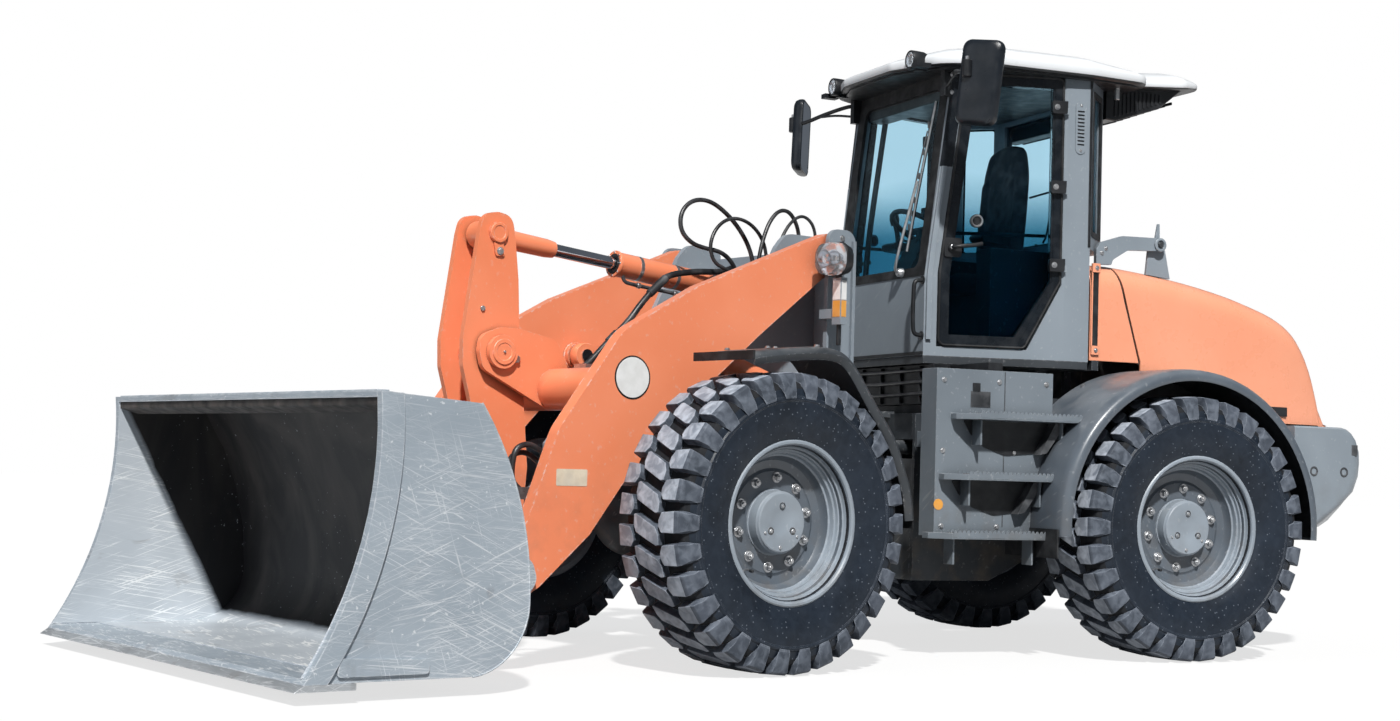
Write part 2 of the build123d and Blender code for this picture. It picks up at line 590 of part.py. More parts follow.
outer = slab(cab_plan(0), SILL_Z, CAB_TOP) - lean_cut(0)
outer -= block(-700, 700, PILLAR_REAR[1], 1400, SILL_Z - 10, REAR_SHELF)
inner = slab(cab_plan(CAB_WALL), SILL_Z - 10, CAB_TOP - CAB_WALL) - lean_cut(CAB_WALL)
inner -= block(-700, 700, PILLAR_REAR[1] - CAB_WALL, 1400, SILL_Z - 20, REAR_SHELF + CAB_WALL)
frame = outer - inner
frame -= block(-410, 410, 100, 420, 1915, 2870)
frame -= block(-400, 400, 1150, 1300, 2150, 2860)
for side in (1, -1):
    frame -= door_shape(side, 8, -60, CAB_WALL + 60)
    frame -= on_wall((side * PILLAR_REAR[0], PILLAR_REAR[1]), (side * TAIL[0], TAIL[1]), 40, 215, 2150, 2860, -60, 120)
for side in (1, -1):
    pin_at = hinge_line(side)
    for z in HINGE_HEIGHTS:
        frame += hinge_piece(side, z, 741)
        frame += upright((pin_at.X, pin_at.Y), 6, z + 2, z + 2 * KNUCKLE)
add("cab_frame", frame)

GLASS = 8
front_glass = plate([(NOSE[1] + 18, 1915), (NOSE[1] + 18 + LEAN * 955, 2870),
                     (NOSE[1] + 18 + GLASS + LEAN * 955, 2870), (NOSE[1] + 18 + GLASS, 1915)], -410, 410)
rear_glass = block(-400, 400, TAIL[1] - 26, TAIL[1] - 18, 2150, 2860)
corner_glass = [on_wall((s * PILLAR_REAR[0], PILLAR_REAR[1]), (s * TAIL[0], TAIL[1]), 40, 215, 2150, 2860, 18, 26)
                for s in (1, -1)]
add("cab_glass", front_glass, rear_glass, *corner_glass)

for hand, side in (("left", 1), ("right", -1)):
    window = door_shape(side, -55, -5, 60)
    leaf = fuse([door_shape(side, 0, 0, 40) - window] + [hinge_piece(side, z + KNUCKLE, 704) for z in HINGE_HEIGHTS])
    at = hinge_line(side)
    add(f"door_{hand}", leaf - upright((at.X, at.Y), 6 + PIN_GAP, HINGE_HEIGHTS[0], CAB_TOP))
    add(f"door_glass_{hand}", door_shape(side, -55, 16, 24))

# ---- roof and air unit ----
roof_plan = [(-250, 70), (250, 70), (560, 190), (690, 430), (715, 1000), (680, 1385), (-680, 1385), (-715, 1000),
             (-690, 430), (-560, 190)]
roof_side = [(40, 2975), (70, 3030), (260, 3075), (700, 3095), (1120, 3080), (1400, 3000), (1400, CAB_TOP),
             (60, CAB_TOP)]
main_roof = plate(roof_side, -715, 715) & slab(roof_plan, 2900, 3200, [120, 120, 160, 200, 200, 90, 90, 200, 200, 160])
rear_side = [(1180, 2990), (1300, 3070), (1560, 3098), (1780, 3085), (1860, 3050), (1840, 3032), (1405, 2960),
             (1180, 2956)]
rear_roof = plate(rear_side, -545, 545)
add("cab_roof", main_roof + rear_roof)
unit = [(1240, 2780), (1300, 2776), (1580, 2868), (1770, 3015), (1400, 2954.5), (1240, 2954.5)]
add("air_unit", plate(unit, -480, 480))
lamps = [rod((s * 420, 150, 2992), (s * 420, 40, 2992), 48) - slab(roof_plan, 2900, 3200) for s in (1, -1)]
add("roof_lamps", *lamps)

# ---- mirrors ----
MIRROR_AT = (955, 165, 2780)


def mirror(side):
    head = Rot(0, 0, 40 * side) * Box(210, 62, 420)
    head = Pos(side * MIRROR_AT[0], MIRROR_AT[1], MIRROR_AT[2]) * head
    bar = rod((side * 480, 330, 2900), (side * 940, 160, 2900), 14) - slab(cab_plan(0), SILL_Z, CAB_TOP)
    return head + bar


add("mirrors", *both(mirror))

# ---- cab inside: seat, console, steering column ----
floor = slab(cab_plan(0)[:3] + cab_plan(0)[-3:], FLOOR_Z, SILL_Z)
consoles = [block(-210, 210, 640, 900, SILL_Z, 1830), block(-420, -260, 520, 950, SILL_Z, 2060),
            block(260, 400, 600, 950, SILL_Z, 2060)]
add("cab_floor", fuse([floor] + consoles))
cushion = block(-230, 230, 480, 940, 1830.3, 1960)
backrest = plate([(850, 1960.3), (945, 1960.3), (985, 2680), (900, 2680)], -220, 220)
add("seat", cushion, backrest)
column = plate([(300, SILL_Z), (390, SILL_Z), (390, 1900), (440, 2110), (400, 2130), (300, 1950)], -90, 90)
wheel = Pos(0, 425, 2175) * Rot(-30, 0, 0) * Torus(175, 14)
spokes = Pos(0, 425, 2175) * Rot(-30, 0, 0) * Box(350, 40, 12)
stub = rod((0, 405, 2100), (0, 425, 2175), 25)
add("steering_column", fuse([column, stub, spokes, wheel]))

# ---- steps, one box and three treads on each side ----
treads = [(140, 760, 1180), (80, 640, 890), (0, 600, 610)]    # front, back and top of each tread
BOX_OUT = 900
TREAD_OUT = 1040


def steps(side):
    box = [(760, 0), (BOX_OUT, 0), (BOX_OUT, 660), (760, 660)]
    body = slab([(side * x, y) for x, y in box], 590, 1395)
    pieces = [body]
    for front, back, top in treads:
        outline = [(BOX_OUT - 5, front - 60), (BOX_OUT + 50, front - 60), (TREAD_OUT, front + 20), (TREAD_OUT, back),
                   (BOX_OUT - 5, back)]
        pieces.append(slab([(side * x, y) for x, y in outline], top - 28, top))
        for y in (front + 60, back - 100):
            pieces.append(plate([(y, top - 28), (y + 10, top - 28), (y + 10, top - 150), (y, top - 150)],
                                side * (BOX_OUT - 5), side * (TREAD_OUT - 60)))
    pieces += [block(side * BEAM_OUT, side * 770, y, y + 60, 1020, 1100) for y in (180, 450)]
    return fuse(pieces) - cross_rod(FENDER_AT, FENDER_R + 0.3, side * 740, side * (TREAD_OUT + 10))


add("steps", *both(steps))


# ---- rear fenders ----


def rear_fender(side):
    ring = cross_rod(FENDER_AT, FENDER_R, side * REAR_FENDER_IN, side * FENDER_OUT)
    ring -= cross_rod(FENDER_AT, FENDER_R - 30, side * (REAR_FENDER_IN - 5), side * (FENDER_OUT + 5))
    ring -= block(side * 600, side * 1300, 400, 2200, -200, FENDER_AT[1])
    wall = cross_rod(FENDER_AT, FENDER_R - 5, side * REAR_FENDER_IN, side * (REAR_FENDER_IN + 15))
    wall -= block(side * 600, side * 1300, 400, 2200, -200, 1100)
    foot = block(side * BEAM_OUT, side * (REAR_FENDER_IN + 10), 1240, 1320, 1100, 1130)
    return fuse([ring, wall, foot])


add("rear_fenders", *both(rear_fender))

# ---- engine, hood, counterweight ----
engine = block(-285, 285, 1250, 2070, 880, 1600)
feet = [block(s * 284, s * BEAM_IN, y, y + 90, 980, 1080) for s in (1, -1) for y in (1300, 1900)]
add("engine_block", fuse([engine] + feet))

hood_line = [(1212, 2008), (1730, 1950), (2130, 1865), (2400, 1765), (2530, 1570), (2650, 1212), (1362, 1212),
             (1362, 1490)]
hood_round = [0, 0, 0, 140, 160, 0, 0, 0]
hood_inside = [(1150, 1993), (1730, 1934), (2125, 1850), (2392, 1752), (2515, 1565), (2640, 1100), (1300, 1100),
               (1150, 1490)]
HOOD_EDGE = 70
hood = plate(hood_line, -HOOD_HALF, HOOD_HALF, hood_round)
hood -= plate(hood_inside, -HOOD_HALF + SKIN, HOOD_HALF - SKIN, hood_round)
hood_ears = [plate([(1430, 1970), (1450, 2140), (1540, 2140), (1580, 1950)], s * 566, s * 586, [0, 40, 40, 0])
             - cross_rod(HOOD_PIVOT, 15 + PIN_GAP, s * 560, s * 590) for s in (1, -1)]
add("hood", fuse([hood] + hood_ears))

surround_top = 2012
surround = plate([(1045, surround_top), (1200, surround_top), (1350, HOOD_FOOT), (1045, HOOD_FOOT)],
                 -HOOD_HALF, HOOD_HALF)
surround -= block(-HOOD_HALF + SKIN, HOOD_HALF - SKIN, 1000, 1400, 1480, surround_top - SKIN)
hinge_arm = [(1112, surround_top), (1112, 2110), (1260, 2150), (1480, 2155), (1530, 2120), (1500, 2085), (1300, 2080),
             (1195, surround_top)]


def hood_hinge(side):
    arm_plate = plate(hinge_arm, side * 592, side * 616, [0, 30, 60, 30, 30, 20, 0, 0])
    return arm_plate + cross_rod(HOOD_PIVOT, 15, side * 562, side * 616)


add("hood_surround", fuse([surround] + both(hood_hinge)))

weight_side = [(REAR_END, 1195), (2700, 1195), (2760, 1170), (2825, 1000), (2805, 880), (2560, 665), (REAR_END, 665)]
weight_plan = [(-950, REAR_END), (950, REAR_END), (950, 2570), (640, 2830), (-640, 2830), (-950, 2570)]
counterweight = plate(weight_side, -950, 950) & slab(weight_plan, 600, 1300, [0, 0, 60, 80, 80, 60])
tail_lights = [block(s * 430, s * 610, 2785, 2816, 890, 990) for s in (1, -1)]
for tail_light in tail_lights:
    counterweight -= tail_light
    counterweight -= tail_light.moved(Pos(0, 20, 0))
add("counterweight", counterweight)
add("tail_lights", *tail_lights)

# ---- hoses that arch freely over the tower, one node each ----
hoses = {
    "hose_high": (9, [(150, -760, VALVE_TOP), (150, -760, 1755), (148, -776, 1860), (146, -805, 1960),
                       (144, -870, 2050), (142, -960, 2125), (140, -1065, 2175), (142, -1170, 2165), (146, -1240, 2100),
                       (152, -1245, 2010), (157, -1180, 1952), (161, -1090, 1935), (165, -1000, 1928),
                       (169, -930, 1880), (173, -898, 1805), (174, -892, 1735), (174, -892, VALVE_TOP)]),
    "hose_low": (7, [(215, -740, VALVE_TOP), (215, -740, 1745), (212, -746, 1830), (211, -752, 1920),
                     (210, -775, 2000), (211, -840, 2065), (213, -930, 2095), (216, -1020, 2080), (219, -1090, 2020), (222, -1120, 1935),
                     (226, -1090, 1860), (231, -1020, 1837), (234, -950, 1800), (236, -915, 1740),
                     (236, -915, VALVE_TOP)]),
    "hose_rear": (8, [(255, -850, VALVE_TOP), (255, -850, 1745), (253, -845, 1830), (250, -832, 1920),
                       (246, -805, 2010), (242, -765, 2095), (238, -705, 2155), (234, -635, 2158),
                       (230, -580, 2100), (227, -558, 2030), (225, -555, 1962), (225, -555, HOSE_CLAMP_Z)]),
    "hose_thin": (6, [(300, -790, VALVE_TOP), (300, -790, 1745), (298, -782, 1835), (295, -765, 1925),
                      (291, -725, 2020), (286, -665, 2100), (281, -590, 2140), (276, -520, 2110),
                      (273, -490, 2045), (272, -505, 1995), (273, -545, 1955), (274, -556, 1925),
                       (274, -556, HOSE_CLAMP_Z)]),
}

for name, (hose_r, points) in hoses.items():
    pts = [Vector(*p) for p in points]
    radii = []
    for before, here, after in zip(pts, pts[1:], pts[2:]):
        first, second = here - before, after - here
        turn = math.radians(first.get_angle(second))
        radii.append(0.45 * min(first.length, second.length) / math.tan(turn / 2))
    path = FilletPolyline(*pts, radius=radii)
    solid = sweep(Plane(path @ 0, z_dir=path % 0) * Circle(hose_r), path=path)
    print(name, "radii", [round(r) for r in radii], "length", round(path.length),
          "volume/section", round(solid.volume / (math.pi * hose_r ** 2)))
    add(name, solid, front=True)

# ---- origin below the middle of the machine, then write every piece ----
boxes = [solid.bounding_box() for name, solids in nodes.items() if name not in hoses for solid in solids]
shift_x = -(min(b.min.X for b in boxes) + max(b.max.X for b in boxes)) / 2
shift_y = -(min(b.min.Y for b in boxes) + max(b.max.Y for b in boxes)) / 2
print("shift", round(shift_x, 3), round(shift_y, 3))
for name, solids in nodes.items():
    moved = [Pos(shift_x, shift_y, 0) * solid for solid in solids]
    piece = moved[0] if len(moved) == 1 else Compound(moved)
    piece.label = name
    export_step(piece, f"parts/{name}.step")
print(len(nodes), "nodes")
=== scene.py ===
import json
import math
import random

import bmesh
import bpy
from mathutils import Matrix, Vector


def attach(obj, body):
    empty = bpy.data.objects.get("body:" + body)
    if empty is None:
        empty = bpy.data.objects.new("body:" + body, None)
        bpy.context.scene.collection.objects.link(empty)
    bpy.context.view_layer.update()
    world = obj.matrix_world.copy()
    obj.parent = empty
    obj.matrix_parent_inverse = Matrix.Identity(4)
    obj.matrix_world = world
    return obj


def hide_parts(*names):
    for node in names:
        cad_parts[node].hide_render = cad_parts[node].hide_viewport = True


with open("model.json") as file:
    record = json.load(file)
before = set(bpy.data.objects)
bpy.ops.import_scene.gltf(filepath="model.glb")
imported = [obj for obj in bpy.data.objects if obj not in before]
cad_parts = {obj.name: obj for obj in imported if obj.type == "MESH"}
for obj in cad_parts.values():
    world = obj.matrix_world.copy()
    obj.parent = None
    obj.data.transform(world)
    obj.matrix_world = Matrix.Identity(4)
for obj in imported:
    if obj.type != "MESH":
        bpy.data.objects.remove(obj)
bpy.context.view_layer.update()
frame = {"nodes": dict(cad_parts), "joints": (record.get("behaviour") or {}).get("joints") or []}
cadNodes = frame["nodes"]
print("frame in place,", len(cadNodes), "nodes")

# Shapes are drawn in millimetres from the articulation pin, with the front half straight ahead.
# One of these matrices then puts them where the machine stands, in metres.
jointFacts = {joint["name"]: joint for joint in frame["joints"]}
pinX, pinY = jointFacts["steer"]["pos_m"][:2]
spinAxis = jointFacts["wheel_front_left_spin"]["axis"]
steerAngle = math.atan2(spinAxis[1], spinAxis[0])
rearSeat = Matrix.Translation((pinX, pinY, 0))
frontSeat = rearSeat @ Matrix.Rotation(steerAngle, 4, "Z")
rearPlace, frontPlace = rearSeat @ Matrix.Scale(0.001, 4), frontSeat @ Matrix.Scale(0.001, 4)


def putObject(name, data):
    thing = bpy.data.objects.new(name, data)
    bpy.context.scene.collection.objects.link(thing)
    return thing


# camera first
cameraFacts = {"spot": (8.5817, -4.2999, 0.881), "yaw": 1.15447, "pitch": 0.05443,
               "roll": 0.03007, "lens": 50.707}


def aimCamera(facts):
    yaw, pitch, roll = facts["yaw"], facts["pitch"], facts["roll"]
    ahead = Vector((-math.sin(yaw) * math.cos(pitch), math.cos(yaw) * math.cos(pitch), math.sin(pitch)))
    right = Vector((math.cos(yaw), math.sin(yaw), 0))
    above = right.cross(ahead)
    side = right * math.cos(roll) + above * math.sin(roll)
    top = above * math.cos(roll) - right * math.sin(roll)
    eye = putObject("camera", bpy.data.cameras.new("camera"))
    eye.data.sensor_width = 36
    eye.data.lens = facts["lens"]
    eye.matrix_world = Matrix.Translation(facts["spot"]) @ Matrix((side, top, -ahead)).transposed().to_4x4()
    bpy.context.scene.camera = eye


aimCamera(cameraFacts)
print("camera aimed")

# finishes by name, and the one being mixed
coats, mixing = {}, {}


def startFinish(name):
    coats[name] = bpy.data.materials.new(name)
    coats[name].use_nodes = True
    tree = coats[name].node_tree
    mixing.update(tree=tree, shader=tree.nodes["Principled BSDF"])


def feed(socket, value):
    if isinstance(value, bpy.types.NodeSocket):
        mixing["tree"].links.new(value, socket)
    else:
        socket.default_value = (*value, 1) if socket.type == "RGBA" else value


def addNode(kind, inputs, out=0, **settings):
    node = mixing["tree"].nodes.new("ShaderNode" + kind)
    for key, value in settings.items():
        setattr(node, key, value)
    for key, value in inputs.items():
        feed(node.inputs[key], value)
    return node.outputs[out]


def objectSpot():
    return addNode("TexCoord", {}, "Object")


def grain(scale, detail=3, stretch=(1, 1, 1), turn=(0, 0, 0), bend=0.0):
    laid = addNode("Mapping", {"Vector": objectSpot(), "Rotation": turn})
    laid = addNode("Mapping", {"Vector": laid, "Scale": stretch})
    return addNode("TexNoise", {"Vector": laid, "Scale": scale, "Detail": detail, "Distortion": bend})


def spread(value, low, high, toLow=0.0, toHigh=1.0):
    return addNode("MapRange", {0: value, 1: low, 2: high, 3: toLow, 4: toHigh})


def patchy(scale, detail, low, high, toLow=0.0, toHigh=1.0, **laid):
    return spread(grain(scale, detail, **laid), low, high, toLow, toHigh)


def work(how, first, second, clamped=True):
    return addNode("Math", {0: first, 1: second}, operation=how, use_clamp=clamped)


def times(first, second):
    return work("MULTIPLY", first, second)


def blend(share, first, second):
    return addNode("Mix", {0: share, 6: first, 7: second}, 2, data_type="RGBA")


def edgeShare(radius):
    soft = addNode("Bevel", {"Radius": radius}, samples=3)
    plain = addNode("NewGeometry", {}, "Normal")
    match = addNode("VectorMath", {0: soft, 1: plain}, "Value", operation="DOT_PRODUCT")
    return spread(match, 0.985, 0.86)


def upPart(vector):
    return addNode("SeparateXYZ", {0: vector}, 2)


def finishOff(tone, gloss, height, strength, distance=0.002, **plain):
    # plain holds the shader's own steady values, their names without spaces
    shader = mixing["shader"]
    feed(shader.inputs["Base Color"], tone)
    feed(shader.inputs["Roughness"], gloss)
    for socket in shader.inputs:
        if socket.name.replace(" ", "") in plain:
            feed(socket, plain[socket.name.replace(" ", "")])
    if height:
        bump = addNode("Bump", {"Strength": strength, "Distance": distance, "Height": height})
        feed(shader.inputs["Normal"], bump)


def mixAll(recipe, columns, table):
    for name, row in table.items():
        startFinish(name)
        recipe(**dict(zip(columns, row)))


# sprayed paint: cloudy tone, dust on what faces up, painted shade darkening the corners, chips on edges, mud
# low down
def paintFinish(color, deep, rough, coat, dust, mud, edge, wear, worn, scuff):
    tone = blend(patchy(2.2, 4, 0.3, 0.72, bend=0.4), deep, color)
    lying = times(spread(upPart(addNode("NewGeometry", {}, "Normal")), 0.35, 1.0), patchy(7, 5, 0.35, 0.75))
    tone = blend(times(lying, dust), tone, (0.62, 0.63, 0.64))
    splashed = times(spread(upPart(objectSpot()), 1.0, 0.25), patchy(11, 6, 0.45, 0.7))
    tone = blend(times(splashed, mud), tone, (0.13, 0.11, 0.09))
    # painted shade: ambient occlusion darkens corners and recesses toward near black
    corner = addNode("AmbientOcclusion", {"Distance": 0.14}, "AO", samples=4)
    tone = blend(spread(corner, 0.62, 0.12, 0.0, 0.72), tone, (0.018, 0.018, 0.02))
    chips = times(edgeShare(edge), patchy(38, 5, 0.5, 0.6))
    tone = blend(times(chips, wear), tone, worn)
    rubbed = patchy(5, 6, 0.63, 0.7, 0.0, scuff, stretch=(1, 9, 9), turn=(0.3, 0.5, 0.2))
    finishOff(blend(rubbed, tone, (0.75, 0.75, 0.75)), patchy(14, 5, 0.3, 0.7, rough - 0.07, rough + 0.09),
              grain(190, 2), 0.05, CoatWeight=coat, CoatRoughness=0.18)


paintColumns = ("color", "deep", "rough", "coat", "dust", "mud", "edge", "wear", "worn", "scuff")
paintTable = {
    "orangePaint": ((0.95, 0.30, 0.15), (0.90, 0.255, 0.115), 0.38, 0.25, 0.18, 0.75, 0.004, 0.75,
                    (0.80, 0.66, 0.58), 0.10),
    "armPaint": ((0.95, 0.31, 0.16), (0.90, 0.265, 0.125), 0.40, 0.2, 0.2, 0.25, 0.012, 0.9,
                 (0.86, 0.80, 0.76), 0.16),
    # hoodPaint is the orange paint made paler, a painted highlight of the lit hood
    "hoodPaint": ((0.96, 0.41, 0.25), (0.95, 0.37, 0.215), 0.30, 0.45, 0.10, 0.2, 0.003, 0.1,
                  (0.9, 0.7, 0.6), 0.04),
    "greyPaint": ((0.275, 0.32, 0.365), (0.225, 0.265, 0.305), 0.40, 0.15, 0.3, 0.7, 0.004, 0.5,
                  (0.62, 0.65, 0.68), 0.10),
    "framePaint": ((0.048, 0.057, 0.067), (0.024, 0.029, 0.035), 0.5, 0.05, 0.35, 0.9, 0.006, 0.5,
                   (0.5, 0.52, 0.55), 0.12),
    "rimPaint": ((0.32, 0.37, 0.425), (0.26, 0.305, 0.355), 0.36, 0.2, 0.15, 0.35, 0.004, 0.45,
                 (0.66, 0.69, 0.72), 0.12),
    "fenderPaint": ((0.125, 0.15, 0.18), (0.085, 0.105, 0.13), 0.36, 0.2, 0.3, 0.5, 0.004, 0.4,
                    (0.4, 0.44, 0.48), 0.12),
    "stepPaint": ((0.205, 0.24, 0.275), (0.16, 0.19, 0.22), 0.42, 0.1, 0.4, 0.6, 0.004, 0.5,
                  (0.55, 0.58, 0.6), 0.15),
    "roofPaint": ((0.86, 0.885, 0.91), (0.80, 0.83, 0.86), 0.34, 0.3, 0.15, 0.0, 0.004, 0.1,
                  (0.7, 0.7, 0.7), 0.06)}
mixAll(paintFinish, paintColumns, paintTable)


# bucket plate: worn paint and steel, crossed by scratches in several directions
scratches = ((0.10, 0.585, 3), (-0.16, 0.59, 3.4), (0.46, 0.615, 3), (-0.42, 0.61, 3.2), (1.25, 0.65, 2.4))


def fineMarks(scale, fineness, lean, low):
    return patchy(scale, 2, low, low + 0.05, stretch=(2, 1.2, fineness),
                  turn=(lean, 0, -steerAngle), bend=0.9)


def steelFinish(color, deep, bright, rust, rough, metal):
    tone = blend(patchy(1.7, 6, 0.32, 0.7, bend=0.8), deep, color)
    marks = patchy(46, 6, 0.665, 0.69)
    for lean, low, scale in scratches:
        fine = times(fineMarks(scale, 64, lean, low), patchy(2.1, 3, 0.42, 0.56, turn=(lean * 3, 0.4, 0.2)))
        marks = work("MAXIMUM", marks, times(fine, spread(upPart(objectSpot()), 1.15, 0.55, 0.35, 1.0)))
    tone = blend(times(marks, bright), tone, (0.86, 0.88, 0.90))
    tone = blend(times(patchy(3.4, 7, 0.6, 0.72, bend=1.2), rust), tone, (0.09, 0.055, 0.035))
    edges = times(edgeShare(0.009), patchy(24, 5, 0.38, 0.6))
    finishOff(blend(times(edges, 0.8), tone, (0.78, 0.80, 0.82)),
              patchy(9, 6, 0.3, 0.7, rough - 0.1, rough + 0.12),
              work("ADD", grain(30, 6), marks), 0.16, 0.003, Metallic=metal)


mixAll(steelFinish, ("color", "deep", "bright", "rust", "rough", "metal"), {
    "bucketSteel": ((0.40, 0.46, 0.52), (0.32, 0.375, 0.43), 0.55, 0.25, 0.45, 0.15),
    "bareSteel": ((0.50, 0.53, 0.56), (0.34, 0.36, 0.38), 0.6, 0.45, 0.4, 0.45)})


# inside of the bucket: bright scoured steel at the mouth, and behind a leaning line that follows the top
# lip's shadow edge, near-black painted shadow
def scouredAndShadowedFinish(slope, start):
    moved = addNode("VectorMath", {0: objectSpot(), 1: (pinX, pinY, 0)}, operation="SUBTRACT")
    laid = addNode("Mapping", {"Vector": moved, "Rotation": (0, 0, -steerAngle)})
    depth = work("ADD", addNode("SeparateXYZ", {0: laid}, 1),
                 work("MULTIPLY", upPart(laid), slope, False), False)
    depth = work("ADD", depth, patchy(5, 6, 0.0, 1.0, -0.02, 0.02, bend=0.6), False)
    # painted shadow: past the leaning line the lining turns near black
    inside = spread(depth, start, start + 0.02)
    bright = blend(patchy(2.3, 6, 0.3, 0.7, bend=1.0), (0.47, 0.52, 0.57), (0.57, 0.62, 0.67))
    marks = times(work("MAXIMUM", fineMarks(3, 60, 0.16, 0.59), fineMarks(3, 52, -0.35, 0.60)),
                  patchy(2.4, 3, 0.4, 0.55, 0.1, 1))
    bright = blend(marks, bright, (0.84, 0.87, 0.89))
    bright = blend(patchy(5, 6, 0.62, 0.74, 0.0, 0.3, stretch=(1, 1, 2.4), bend=1.0), bright,
                   (0.10, 0.08, 0.07))
    # the near-black painted shadow, cloudy, with a few light flecks
    dark = blend(patchy(4, 7, 0.42, 0.75, stretch=(1, 1, 0.4), bend=1.0), (0.006, 0.006, 0.008),
                 (0.045, 0.040, 0.038))
    flecks = times(patchy(60, 3, 0.70, 0.73), patchy(3, 3, 0.45, 0.6))
    dark = blend(flecks, dark, (0.30, 0.32, 0.34))
    finishOff(blend(inside, bright, dark), spread(inside, 0, 1, 0.42, 0.62), grain(26, 7), 0.2,
              0.003, Metallic=0.1)


mixAll(scouredAndShadowedFinish, ("slope", "start"), {"bucketInside": (0.55, -2.80)})


# bright metal, plastics, hoses, cloth and labels
plainBase = {"cloud": 6, "dust": 0, "dustColor": (0.35, 0.36, 0.38), "worn": None, "metal": 0,
             "shine": 0.5, "pits": 160,
             "bump": 0.12}


def plainFinish(color, deep, rough, cloud, dust, dustColor, worn, metal, shine, pits, bump):
    tone = blend(patchy(cloud, 5, 0.3, 0.7), deep, color)
    if dust:
        tone = blend(times(patchy(13, 6, 0.42, 0.75), dust), tone, dustColor)
    if worn:
        tone = blend(times(times(edgeShare(0.004), patchy(40, 4, 0.3, 0.7)), 0.6), tone, worn)
    finishOff(tone, patchy(18, 5, 0.3, 0.7, rough * 0.8, min(rough * 1.25, 1)), grain(pits, 3), bump,
              Metallic=metal, SpecularIORLevel=shine)


plainTable = {
    "chromeSteel": ((0.66, 0.68, 0.72), (0.5, 0.52, 0.56), 0.12, {"metal": 1, "bump": 0.02}),
    "boltZinc": ((0.62, 0.63, 0.64), (0.40, 0.41, 0.43), 0.34,
                 {"metal": 0.9, "cloud": 30, "dust": 0.3, "dustColor": (0.2, 0.17, 0.14)}),
    "blackPlastic": ((0.013, 0.015, 0.018), (0.008, 0.009, 0.011), 0.42,
                     {"dust": 0.05, "worn": (0.06, 0.065, 0.07), "pits": 420, "bump": 0.18, "shine": 0.35}),
    "glossBlack": ((0.010, 0.014, 0.019), (0.006, 0.008, 0.011), 0.16, {"dust": 0.05, "bump": 0.02}),
    "mirrorShell": ((0.008, 0.012, 0.018), (0.005, 0.008, 0.012), 0.33,
                    {"dust": 0.03, "shine": 0.35, "pits": 500, "worn": (0.06, 0.07, 0.08)}),
    "sealRubber": ((0.010, 0.011, 0.013), (0.006, 0.007, 0.008), 0.55, {"dust": 0.10, "shine": 0.35}),
    "hoseRubber": ((0.020, 0.021, 0.023), (0.010, 0.010, 0.012), 0.36,
                   {"dust": 0.16, "pits": 260, "bump": 0.2, "shine": 0.6}),
    "darkSteel": ((0.055, 0.060, 0.066), (0.020, 0.022, 0.026), 0.5,
                  {"metal": 0.2, "dust": 0.3, "worn": (0.2, 0.21, 0.22)}),
    "engineIron": ((0.10, 0.10, 0.105), (0.05, 0.05, 0.052), 0.6,
                   {"metal": 0.3, "dust": 0.45, "dustColor": (0.22, 0.19, 0.16), "pits": 60}),
    "seatCloth": ((0.030, 0.033, 0.038), (0.018, 0.020, 0.024), 0.85,
                  {"cloud": 14, "pits": 900, "bump": 0.6, "dust": 0.15, "shine": 0.2}),
    "signWhite": ((0.86, 0.87, 0.87), (0.76, 0.77, 0.76), 0.35,
                  {"dust": 0.25, "dustColor": (0.5, 0.48, 0.45), "cloud": 20, "bump": 0.03}),
    "labelCream": ((0.80, 0.70, 0.55), (0.68, 0.58, 0.44), 0.4, {"dust": 0.3, "cloud": 24, "bump": 0.03}),
    "labelAmber": ((0.85, 0.40, 0.08), (0.75, 0.32, 0.05), 0.4, {"dust": 0.2, "cloud": 24, "bump": 0.03}),
    "mirrorGlass": ((0.70, 0.74, 0.78), (0.62, 0.66, 0.70), 0.04, {"metal": 1, "bump": 0.01}),
    # painted shade: near black for the bar under the bucket's top lip
    "bucketSoot": ((0.030, 0.026, 0.024), (0.006, 0.006, 0.007), 0.7,
                   {"cloud": 5, "dust": 0.55, "dustColor": (0.13, 0.11, 0.10), "pits": 40})}
for name, (color, deep, rough, more) in plainTable.items():
    startFinish(name)
    plainFinish(color, deep, rough, **{**plainBase, **more})


# tyre rubber: sidewall with moulding pips and a blue cast that is painted sheen, and tread tops lighter from
# dust and painted highlight
def rubberFinish(color, deep, dust, dusty, pips, rub, rough):
    tone = blend(patchy(4, 6, 0.3, 0.72, bend=0.5), deep, color)
    tone = blend(times(patchy(22, 7, 0.40, 0.66, bend=0.5), dust), tone, dusty)
    cells = addNode("TexVoronoi", {"Vector": objectSpot(), "Scale": 44.0}, "Distance")
    tone = blend(times(spread(cells, 0.17, 0.09), pips), tone, (0.26, 0.30, 0.36))
    rubbed = times(edgeShare(0.006), patchy(30, 5, 0.35, 0.65))
    finishOff(blend(times(rubbed, rub), tone, (0.42, 0.47, 0.55)),
              patchy(16, 5, 0.3, 0.7, rough - 0.08, rough + 0.1),
              grain(70, 7), 0.3, SpecularIORLevel=0.3)


mixAll(rubberFinish, ("color", "deep", "dust", "dusty", "pips", "rub", "rough"), {
    # tyreRubber's blue cast is painted sheen; tyreTop is dust and painted highlight
    "tyreRubber": ((0.013, 0.021, 0.035), (0.006, 0.010, 0.017), 0.25, (0.032, 0.044, 0.064), 0.5, 0.35, 0.5),
    "tyreGap": ((0.014, 0.017, 0.022), (0.006, 0.007, 0.009), 0.3, (0.035, 0.035, 0.038), 0.0, 0.0, 0.75),
    "tyreTop": ((0.34, 0.38, 0.445), (0.18, 0.205, 0.25), 0.75, (0.56, 0.61, 0.69), 0.0, 0.8, 0.6),
    "tyreFlank": ((0.085, 0.10, 0.13), (0.04, 0.05, 0.066), 0.55, (0.20, 0.23, 0.28), 0.0, 0.75, 0.6)})
